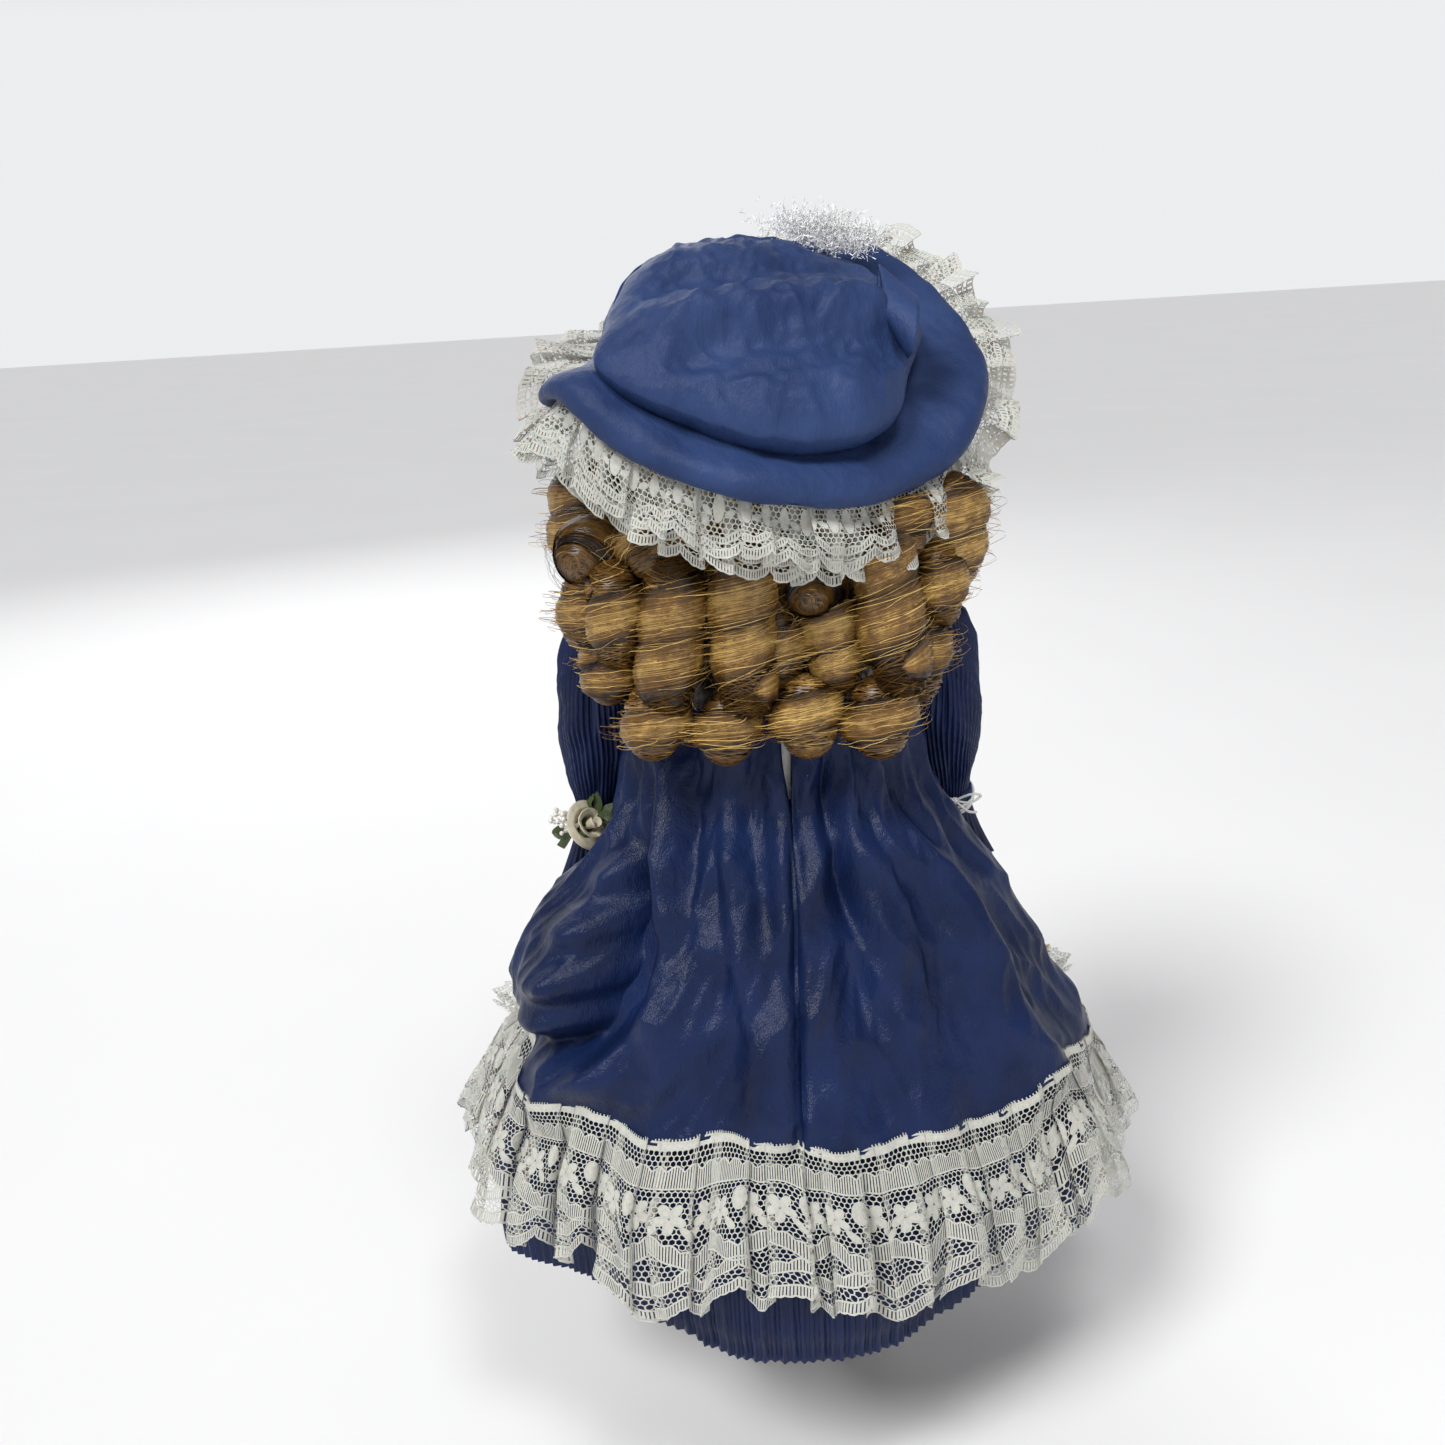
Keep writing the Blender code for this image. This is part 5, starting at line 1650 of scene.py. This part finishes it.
def eye_shape(x, z):
    """How far a place lies inside the eye opening: above 0 inside, 0 on the lid's edge."""
    across = np.clip(np.abs((np.abs(x) - EYE[0]) / EYE_HALF_WIDTH), 0, 1.4)
    rise = z - EYE[2] - 0.06 * (np.abs(x) - EYE[0])
    upper = upper_lid(across) - rise
    lower = 2.8 * np.maximum(1 - across**2.4, 0) + rise
    return np.where(across < 1, np.minimum(upper, lower), -9.0)


def relief(x, z):
    """How far the face stands out of the plain head."""
    side = np.abs(x)
    nose = 4.6 * hump(x, 2.7) * np.where(z > 328, hump(z - 328, 5.4), hump(z - 328, 2.1))
    nose = nose + 1.5 * hump(side - 2.9, 1.4) * hump(z - 326.6, 1.5) + 1.6 * hump(x, 2.5) * hump(z - 337, 6.5)
    nose = nose - 0.8 * hump(side - 1.5, 0.75) * hump(z - 325.3, 0.7)
    mouth = smooth((6.3 - side) / 3.2)
    line = lip_line(x)
    lips = (mouth * (1.35 * hump(z - line - 1.2, 1.05) + 1.75 * hump(z - line + 1.5, 1.35)
                     - 0.9 * hump(z - line, 0.32)))
    lips = (lips - 0.3 * hump(x, 0.9) * hump(z - 322.6, 1.5)
            - 0.35 * hump(side - 6.8, 1.0) * hump(z - 318.3, 1.0))
    chin = 3.0 * hump(x, 6.5) * hump(z - 309, 4.0) - 0.55 * hump(x, 5.0) * hump(z - 313.7, 1.2)
    cheeks = 1.8 * hump(side - 15, 8) * hump(z - 324.5, 8)
    brow = 0.9 * hump(side - 12, 7) * hump(z - 350.5, 3) + 0.8 * hump(x, 16) * hump(z - 357, 8)
    socket = -2.0 * hump(side - EYE[0], 7) * hump(z - 342.5, 5.6)
    return nose + lips + chin + cheeks + brow + socket


def face_paint(x, z, front):
    """Colours of the painted bisque at places on the face."""
    side = np.abs(x)

    def laid(colours, tone, weight):
        weight = np.clip(weight, 0, 1)[..., None] * front[..., None]
        return colours * (1 - weight) + np.array(tone) * weight

    colours = np.broadcast_to(SKIN, (*x.shape, 3)).copy()
    colours = laid(colours, (0.74, 0.27, 0.22), 0.50 * hump(side - 16.5, 6.5) * hump(z - 326, 6.5))
    colours = laid(colours, (0.72, 0.36, 0.28), 0.22 * hump(x, 4) * hump(z - 309, 3)
                   + 0.18 * hump(x, 3) * hump(z - 328, 3))
    line = lip_line(x)
    top = 320.9 - 0.033 * x**2 - 0.7 * hump(x, 0.8) + 0.3 * hump(side - 1.9, 1.1)
    low = 315.2 + 0.088 * x**2
    inside = np.minimum(top - z, z - low)
    colours = laid(colours, (0.50, 0.075, 0.075), smooth((inside + 0.1) / 0.4) * 0.9)
    colours = laid(colours, (0.20, 0.02, 0.025), 0.75 * hump(z - line, 0.22) * smooth((6 - side) / 1.0))
    colours = laid(colours, (0.45, 0.10, 0.08), 0.8 * hump(side - 1.5, 0.55) * hump(z - 325.3, 0.5))
    share = (side - 6.0) / 13.0
    arch = 349.0 + 2.0 * np.sin(math.pi * np.clip(share, 0, 1) ** 0.9) - 0.2 * share
    strokes = 0.65 + 0.35 * np.sin(side * 9 + z * 5)
    colours = laid(colours, (0.17, 0.085, 0.035), 0.9 * strokes * hump(z - arch, 0.75 * (1.2 - share) + 0.2)
                   * smooth((side - 5.6) / 1.2) * smooth((19.2 - side) / 1.5))
    eye = eye_shape(x, z)
    near = smooth((7.4 - np.abs(side - EYE[0])) / 1.0)
    above = smooth((z - EYE[2]) / 0.8)
    colours = laid(colours, (0.07, 0.03, 0.02), near * above * hump(eye + 0.30, 0.34))
    colours = laid(colours, (0.45, 0.22, 0.17), 0.55 * near * above * hump(eye + 2.1, 0.35))
    colours = laid(colours, (0.55, 0.30, 0.34), 0.22 * near * above * hump(eye + 1.2, 1.2))
    lashes = smooth((np.sin((side - EYE[0]) * 6.3) - 0.35) / 0.4)
    colours = laid(colours, (0.13, 0.06, 0.03),
                   0.75 * near * (1 - above) * lashes * smooth((eye + 1.7) / 0.3)
                   * smooth((-0.35 - eye) / 0.2))
    colours = laid(colours, (0.62, 0.24, 0.20), 0.6 * near * (1 - above) * hump(eye + 0.1, 0.22))
    return colours


def head():
    """The painted bisque head and shoulder plate."""
    columns = 320
    share = np.linspace(-1, 1, columns, endpoint=False)
    turn = (math.pi * share - 0.74 * np.sin(math.pi * share))[None, :]
    z = np.concatenate([np.linspace(262.6, 303, 40), np.linspace(303.3, 360, 236),
                        345 + 41 * np.sin(np.linspace(0.39, 1.56, 46))])[:, None]
    wide, deep, centre = level_sections(HEAD, z)
    x = wide * np.sin(turn)
    y = centre - deep * np.cos(turn)
    front = smooth((np.cos(turn) - 0.25) / 0.35) * smooth((z - 303) / 3)
    y = y - front * relief(x, z + 0 * x)
    aside = np.hypot(np.abs(x) - EYE[0], z - EYE[2])
    lid_ball = EYE[1] - np.sqrt(np.maximum(LID_RADIUS**2 - aside**2, 0))
    lid = np.where(aside < 6.3, lid_ball, y)
    soft = smooth((LID_RADIUS - aside) / 2.2)
    y = np.where(front > 0.5, y * (1 - soft) + np.minimum(y, lid) * soft, y)
    eye = eye_shape(x, z + 0 * x)
    inner = EYE[1] - np.sqrt(np.maximum(4.3**2 - aside**2, 0.5))
    opening = smooth((eye + 0.04) / 0.16) * (front > 0.5)
    y = y * (1 - opening) + inner * opening
    points = xyz(x, y, z)
    obj = mesh_object("painted_head", points, faces_between(points, True)[:, ::-1], PAINT["bisque"])
    colours = np.concatenate([face_paint(x, z + 0 * x, front), np.ones((*x.shape, 1))], axis=-1)
    paint_points(obj, colours)
    dress(obj, "doll", "bisque", "shoulder_head")
    for sign, name in SIDE_NAMES.items():
        glass_eye(sign, name)
        lashes(sign, name)


def glass_eye(sign, name):
    """A set-in glass eye; its tint is the angle from the middle of the pupil."""
    polar = np.concatenate([np.linspace(0.001, 0.75, 60), np.linspace(0.78, 2.2, 24)])[:, None]
    turn = full_turn(96)
    bulge = EYE_RADIUS + 0.35 * np.exp(-((polar / 0.5) ** 4))
    points = np.stack([
        sign * EYE[0] - 0.25 * sign + bulge * np.sin(polar) * np.cos(turn),
        EYE[1] - bulge * np.cos(polar) + 0 * turn,
        EYE[2] + bulge * np.sin(polar) * np.sin(turn),
    ], axis=-1)
    obj = mesh_object(name + "_glass_eye", points, faces_between(points, True), PAINT["eye"],
                      tint=polar / HALF_PI + 0 * turn)
    dress(obj, "doll", "eye_glass", "eye_" + name)


def lashes(sign, name):
    """Upper lashes along the lid's edge."""
    across = np.linspace(-5.0, 5.4, 30)
    rise = upper_lid(np.abs(across / EYE_HALF_WIDTH)) + 0.06 * across
    aside = np.hypot(across, rise)
    roots = np.stack([EYE[0] + across, EYE[1] - np.sqrt(np.maximum(LID_RADIUS**2 - aside**2, 1)) + 0.1,
                      EYE[2] + rise], axis=1)
    share = np.linspace(0, 1, 8)[None, :, None]
    aim = np.stack([0.10 * across, -1.0 + 0 * across, 0.25 + 0 * across], axis=1)[:, None]
    lines = roots[:, None] + aim * share * 2.6 + np.array([0, 0, 1.0]) * share**2 * 1.9
    points, faces, _ = fibres(lines, np.array([0.0, -0.3, 1.0]) + 0 * lines, 0.24, np.zeros(len(across)))
    obj = mesh_object(name + "_lashes", sided(points, sign), faces, PAINT["lash"])
    dress(obj, "doll", "hair")


# ---------------------------------------------------------------- forearms and hands

def arm_basis():
    """The forearm's direction and the two directions across it."""
    first, second = ring_frame(FOREARM)
    return FOREARM, first, second


def hand(side):
    """The porcelain forearm with a small open hand, fused into one skin."""
    axis, first, second = arm_basis()

    def spot(along, across=0.0, back=0.0):
        return ELBOW + axis * along + first * across + second * back

    limb = np.array([(-5.2, 3.2), (-3.6, 5.2), (0, 6.2), (8, 6.1), (16, 5.7), (24, 4.9), (31, 4.0),
                     (36, 3.9), (39, 3.4)])
    along = np.linspace(-5.2, 39, 40)
    parts = [tube(np.array([spot(a) for a in along]), np.interp(along, limb[:, 0], limb[:, 1]), 24)]
    parts.append(ball(spot(-5.0), 3.4, 12, 20))
    for share in np.linspace(0, 1, 7):
        across = -3.6 + 7.0 * share
        line = [spot(34, across * 0.55, 0), spot(39, across * 0.95, 0.2), spot(46.5, across, 0.1)]
        parts.append(tube(curve_through(line, 12), np.linspace(2.2, 1.7, 12), 14))
        parts.append(ball(spot(46.5, across, 0.1), 1.7, 10, 14))
    for across, long, bend in ((-4.0, 8.6, 1.2), (-1.5, 10.8, 0.7), (1.1, 11.3, 0.8), (3.6, 9.6, 1.4)):
        line = [spot(44.5, across, 0), spot(46.5 + long * 0.45, across * 1.14, -0.2),
                spot(46.0 + long, across * 1.2, -bend)]
        parts.append(tube(curve_through(line, 16), np.linspace(1.55, 1.05, 16), 14))
        parts.append(ball(line[-1], 1.06, 9, 14))
    line = [spot(36, -2.6, -0.6), spot(40.5, -6.2, -2.0), spot(45.5, -7.4, -3.2)]
    parts.append(tube(curve_through(line, 16), np.linspace(2.1, 1.2, 16), 14))
    parts.append(ball(line[-1], 1.22, 9, 14))
    name = SIDE_NAMES[side]
    obj = mirrored_object(name + "_hand", side, *join(parts), PAINT["skin"])
    skin = obj.modifiers.new("skin", "REMESH")
    skin.mode = "VOXEL"
    skin.voxel_size = 0.00034
    skin.use_smooth_shade = True
    ease = obj.modifiers.new("ease", "SMOOTH")
    ease.factor = 0.5
    ease.iterations = 4
    dress(obj, name + "_forearm", "bisque", name + "_forearm")


def upper_arm(side):
    """The cloth upper arm inside the sleeve."""
    name = SIDE_NAMES[side]
    table = np.array([(277, 56.3, 0, 4, 4.5), (270, 57, -1, 6.6, 7.4), (245, 58.2, -6, 6.3, 7),
                      (221, 60.4, -12.8, 5.6, 6)])
    z = as_column(221.2, 277, 30)
    turn = full_turn(40)
    x, y, wide, deep = level_sections(table, z)
    points = np.stack([x + wide * np.sin(turn), y + deep * np.cos(turn), z + 0 * turn], axis=-1)
    obj = mirrored_object(name + "_arm_stuffed", side, points, faces_between(points, True)[:, ::-1],
                          PAINT["muslin"])
    dress(obj, name + "_upper_arm", "muslin", name + "_upper_arm")


# ---------------------------------------------------------------- legs

# Level sections of the boot and the lower leg: height, half width, half depth, centre y.
LEG = np.array([
    (0, 9.3, 19.5, -7), (1.2, 10, 20.3, -7.4), (3, 10.1, 20.5, -7.5), (5.5, 10, 19.6, -7),
    (8, 9.5, 17.6, -5.8), (10.5, 8.9, 15, -4.2), (13, 8.2, 12.3, -2.4), (19, 6.9, 8.2, 0),
    (28, 6.3, 6.9, 0.5), (45, 7.6, 8.4, 1), (62, 8.9, 9.8, 1), (76, 8.3, 9, 0.5), (90, 8.6, 9, 0),
], float)


# The left leg's middle line, and the heights at which the boot and its sole end.
LEG_X, LEG_Y = 15.5, 3
BOOT_TOP, SOLE_TOP = 31.4, 2.7


def lower_leg(side, name):
    """The glazed lower leg with its moulded boot."""
    z = np.concatenate([[0.02], np.linspace(0.3, 30, 90), np.linspace(30.6, 89, 60)])[:, None]
    turn = full_turn(96)
    wide, deep, centre = level_sections(LEG, z)
    boot = smooth((31.5 - z) / 0.6)
    front = hump(np.remainder(turn, TAU) - math.pi, 0.5)
    lift = (0.45 * boot + 0.5 * hump(z - 31, 0.8) - 0.35 * hump(z - 2.6, 0.35)
            + 0.25 * front * np.sin(z * 1.5) * boot * smooth((z - 10) / 3))
    shape = 1 - 0.10 * np.abs(np.sin(2 * turn)) * smooth((14 - z) / 6)
    x = (LEG_X + (wide + lift) * shape * np.sin(turn)
         * (1 + 0.10 * np.cos(turn + math.pi) * smooth((12 - z) / 6)))
    y = LEG_Y + centre + (deep + lift) * shape * np.cos(turn)
    points = xyz(x, y, z)
    sole = points[:1] * 0 + [[LEG_X, -4.0, 0.0]]
    points = np.concatenate([sole, points])
    obj = mirrored_object(name + "_lower_leg_glazed", side, points,
                          faces_between(points, True)[:, ::-1], PAINT["glaze"])
    tone = np.where(z > BOOT_TOP, [[0.80, 0.60, 0.49]], [[0.78, 0.75, 0.70]])
    tone = np.where(z < SOLE_TOP, [[0.20, 0.14, 0.10]], tone)
    colours = np.concatenate([np.repeat(tone[:, None], 96, axis=1), np.ones((len(z), 96, 1))], axis=-1)
    colours = np.concatenate([colours[:1], colours])
    paint_points(obj, colours)
    dress(obj, name + "_leg", "shoe_glaze", name + "_lower_leg")


def boot_buttons(side, name):
    """The row of pearl buttons up the front of the boot."""
    for reach in (13.5, 17.5, 21.5, 25.5):
        _, deep, centre = [float(v) for v in level_sections(LEG, np.array(reach))]
        place = [LEG_X, LEG_Y + centre - deep - 0.6, reach]
        button = ball(place, np.array([1.0, 0.6, 1.0]), 8, 14)
        obj = mirrored_object(f"{name}_boot_button_{int(reach)}", side, *button, PAINT["pearl"])
        dress(obj, name + "_leg", "pearl")


def stuffed_thigh(side, name):
    """The stuffed cloth thigh, round at its top."""
    turn = full_turn(60)
    polar = as_column(0, 1, 40)
    z = 164 - 76 * polar
    radius = np.where(z > 152, np.sqrt(np.maximum(12.2**2 - (z - 152) ** 2, 0.04)),
                      np.interp(z, [88, 105, 125, 152], [9.3, 11, 12, 12.2]))
    points = np.stack([LEG_X + radius * np.sin(turn), LEG_Y + radius * np.cos(turn), z + 0 * turn], axis=-1)
    obj = mirrored_object(name + "_thigh_stuffed", side, points, faces_between(points, True), PAINT["muslin"])
    dress(obj, name + "_leg", "muslin", name + "_thigh")


def bloomer(side, name):
    """The gathered bloomer leg with its lace edge."""
    turn = full_turn(240)
    drop = as_column(0, 1, 60)
    z = 139 - 60 * drop
    gathers = (0.5 * np.sin(turn * 34 + 2 * np.sin(z / 9)) * (0.4 + hump(drop - 0.86, 0.12))
               + 0.9 * ripples(turn * 1.4, z / 22, 171))
    radius = (13.4 + 1.6 * np.sin(math.pi * drop) - 2.6 * hump(drop - 0.86, 0.07)
              + 1.0 * smooth((drop - 0.9) / 0.1) + gathers)
    points = np.stack([LEG_X + radius * 0.96 * np.sin(turn), LEG_Y + radius * np.cos(turn), z + 0 * turn],
                      axis=-1)
    obj = mirrored_object(name + "_bloomer_muslin", side, points, faces_between(points, True),
                          PAINT["muslin"])
    dress(obj, name + "_leg", "lace", name + "_bloomer_leg")
    pattern = edging(12.0, 11.0, 2.2)

    def bend(flat):
        """Gathers the lace round the leg."""
        turn = flat[:, 0] / (9 * 12.0) * TAU
        t = flat[:, 1]
        radius = 13.4 + t * 0.35 + 0.9 * np.sin(turn * 14) * (0.3 + t / 11) + flat[:, 2]
        return sided(np.stack([LEG_X + radius * np.sin(turn), LEG_Y + radius * np.cos(turn), 79.5 - t * 0.85],
                              axis=1), side)

    lace_strip(name + "_bloomer_lace", name + "_leg", pattern, 9, bend, [])


def leg(side):
    """The lower leg, its boot's buttons, the thigh and the bloomer leg of one side."""
    name = SIDE_NAMES[side]
    lower_leg(side, name)
    boot_buttons(side, name)
    stuffed_thigh(side, name)
    bloomer(side, name)


def front_trim():
    """The pleated lace front of the bodice, its pearl buttons and the bow at the neck."""
    pattern = edging(10.0, 11.0, 2.0)
    for side in (1, -1):
        def bend(flat, side=side):
            """Stands the ruffle beside the row of buttons."""
            z = 284.0 - flat[:, 0] * 0.86
            t = flat[:, 1]
            turn = math.pi + side * (0.16 + t * 0.020)
            wave = 0.9 * np.sin(flat[:, 0] * 1.3) * t / 9
            return bodice_point(turn, z, 2.6 + 0.24 * t + 0.8 * wave + 1.4 * smooth((246 - z) / 8)
                                + flat[:, 2])

        name = SIDE_NAMES[side]
        lace_strip("bodice_ruffle_" + name, "doll", pattern, 5, bend, [])
    for k in range(5):
        z = 276.0 - 8.6 * k
        spot = bodice_point(np.array(math.pi), np.array(z), np.array(2.0))
        button = ball(spot, np.array([1.5, 1.1, 1.5]), 10, 18)
        dress(mesh_object(f"bodice_button_{k + 1}", *button, PAINT["pearl"]), "doll", "pearl")
    knot = np.array([0, -22.0, 288.0])
    parts = []
    for sign in (1, -1):
        loop = [knot, knot + [sign * 7, -5.0, 1.8], knot + [sign * 13.5, -3.0, 1.2],
                knot + [sign * 7, 0.5, 0], knot]
        parts.append(ribbon(loop, 7.0, (0, -1, 0.05), 40))
        tail = [knot, knot + [sign * 4, -2.5, -9], knot + [sign * 7.5, -4.5, -20]]
        parts.append(ribbon(tail, 5.0, (0, -1, 0.1), 26, 0.3))
    obj = mesh_object("neck_bow", *join(parts), PAINT["satin"])
    thicken(obj, 0.0003)
    dress(obj, "doll", "navy_satin")
    obj = mesh_object("neck_rosebud", *rosebud(knot + [0, -3.0, 0], (0, -1, 0.25), 4.6), PAINT["cream"])
    thicken(obj, 0.0003)
    dress(obj, "doll", "rose_satin")


# ---------------------------------------------------------------- the stage

def soft_light(name, place, size, power, tint=(1, 1, 1)):
    """A square lamp that looks at the doll's middle."""
    data = bpy.data.lights.new(name, "AREA")
    data.size = size
    data.energy = power
    data.color = tint
    obj = bpy.data.objects.new(name, data)
    obj.location = place
    obj.rotation_mode = "QUATERNION"
    obj.rotation_quaternion = (Vector((0, 0, 0.22)) - Vector(place)).to_track_quat("-Z", "Y")
    bpy.context.scene.collection.objects.link(obj)


def stage():
    """A pale floor, soft studio lights and the camera behind and above the doll."""
    made, nodes, links, shader = new_material("pale_floor")
    colour_mix(nodes, links, shader, (0.88, 0.88, 0.88), (0.92, 0.92, 0.92), noise_node(nodes, links, 4, 2))
    shader.inputs["Roughness"].default_value = 0.8
    side = 9000.0
    corners = [(-side, -side, -0.2), (side, -side, -0.2), (side, side, -0.2), (-side, side, -0.2)]
    floor = mesh_object("floor", corners, [(0, 1, 2, 3)], made)
    world = bpy.data.worlds.new("studio")
    world.use_nodes = True
    nodes, links = world.node_tree.nodes, world.node_tree.links
    place = nodes.new("ShaderNodeTexCoord")
    split = nodes.new("ShaderNodeSeparateXYZ")
    ramp = nodes.new("ShaderNodeValToRGB")
    ramp.color_ramp.elements[0].position = 0.15
    ramp.color_ramp.elements[0].color = (0.84, 0.85, 0.86, 1)
    ramp.color_ramp.elements[1].position = 0.30
    ramp.color_ramp.elements[1].color = (0.20, 0.20, 0.21, 1)
    links.new(place.outputs["Generated"], split.inputs[0])
    links.new(split.outputs["Z"], ramp.inputs["Fac"])
    links.new(ramp.outputs["Color"], nodes["Background"].inputs["Color"])
    bpy.context.scene.world = world
    bpy.context.scene.view_settings.view_transform = "Standard"
    sun = bpy.data.lights.new("overhead_key", "SUN")
    sun.energy = 2.1
    sun.angle = 0.35
    key = bpy.data.objects.new("overhead_key", sun)
    key.rotation_mode = "QUATERNION"
    key.rotation_quaternion = Vector((-0.42, -0.55, -0.80)).to_track_quat("-Z", "Y")
    bpy.context.scene.collection.objects.link(key)
    soft_light("overhead", (-0.15, 0.55, 1.30), 0.28, 5)
    soft_light("beside_camera", (-0.8, 1.4, 0.75), 0.7, 2)
    soft_light("front", (0.5, -1.4, 1.0), 1.0, 7)
    data = bpy.data.cameras.new("camera")
    data.lens = 38
    data.sensor_width = 36
    camera = bpy.data.objects.new("camera", data)
    camera.location = (0.0163, 0.4925, 0.3966)
    pitch = Matrix.Rotation(math.radians(180), 4, "Z") @ Matrix.Rotation(math.radians(90 - 17), 4, "X")
    camera.rotation_euler = (pitch @ Matrix.Rotation(math.radians(-3.5), 4, "Z")).to_euler()
    bpy.context.scene.collection.objects.link(camera)
    bpy.context.scene.camera = camera


underskirt()
hem_lace()
overskirt()
front_lace()
bodice()
closure_strip()
collar()
head()
front_trim()
for side in (1, -1):
    upper_arm(side)
    sleeve(side)
    band_and_cuff(side)
    hand(side)
    leg(side)
bouquet()
band_tie()
hip_posies()
hair_cap()
hair_fall()
ringlets()
hat_brim()
hat_crown()
hat_lace("hat_lace_long", 28.0, 61.0, 0.0, 35, 1.0, ["hat_lace_under"])
hat_lace("hat_lace_short", 19.0, 67.5, 0.12, 36, 0.8, ["hat_lace_edge"])
tulle_plume()
stage()
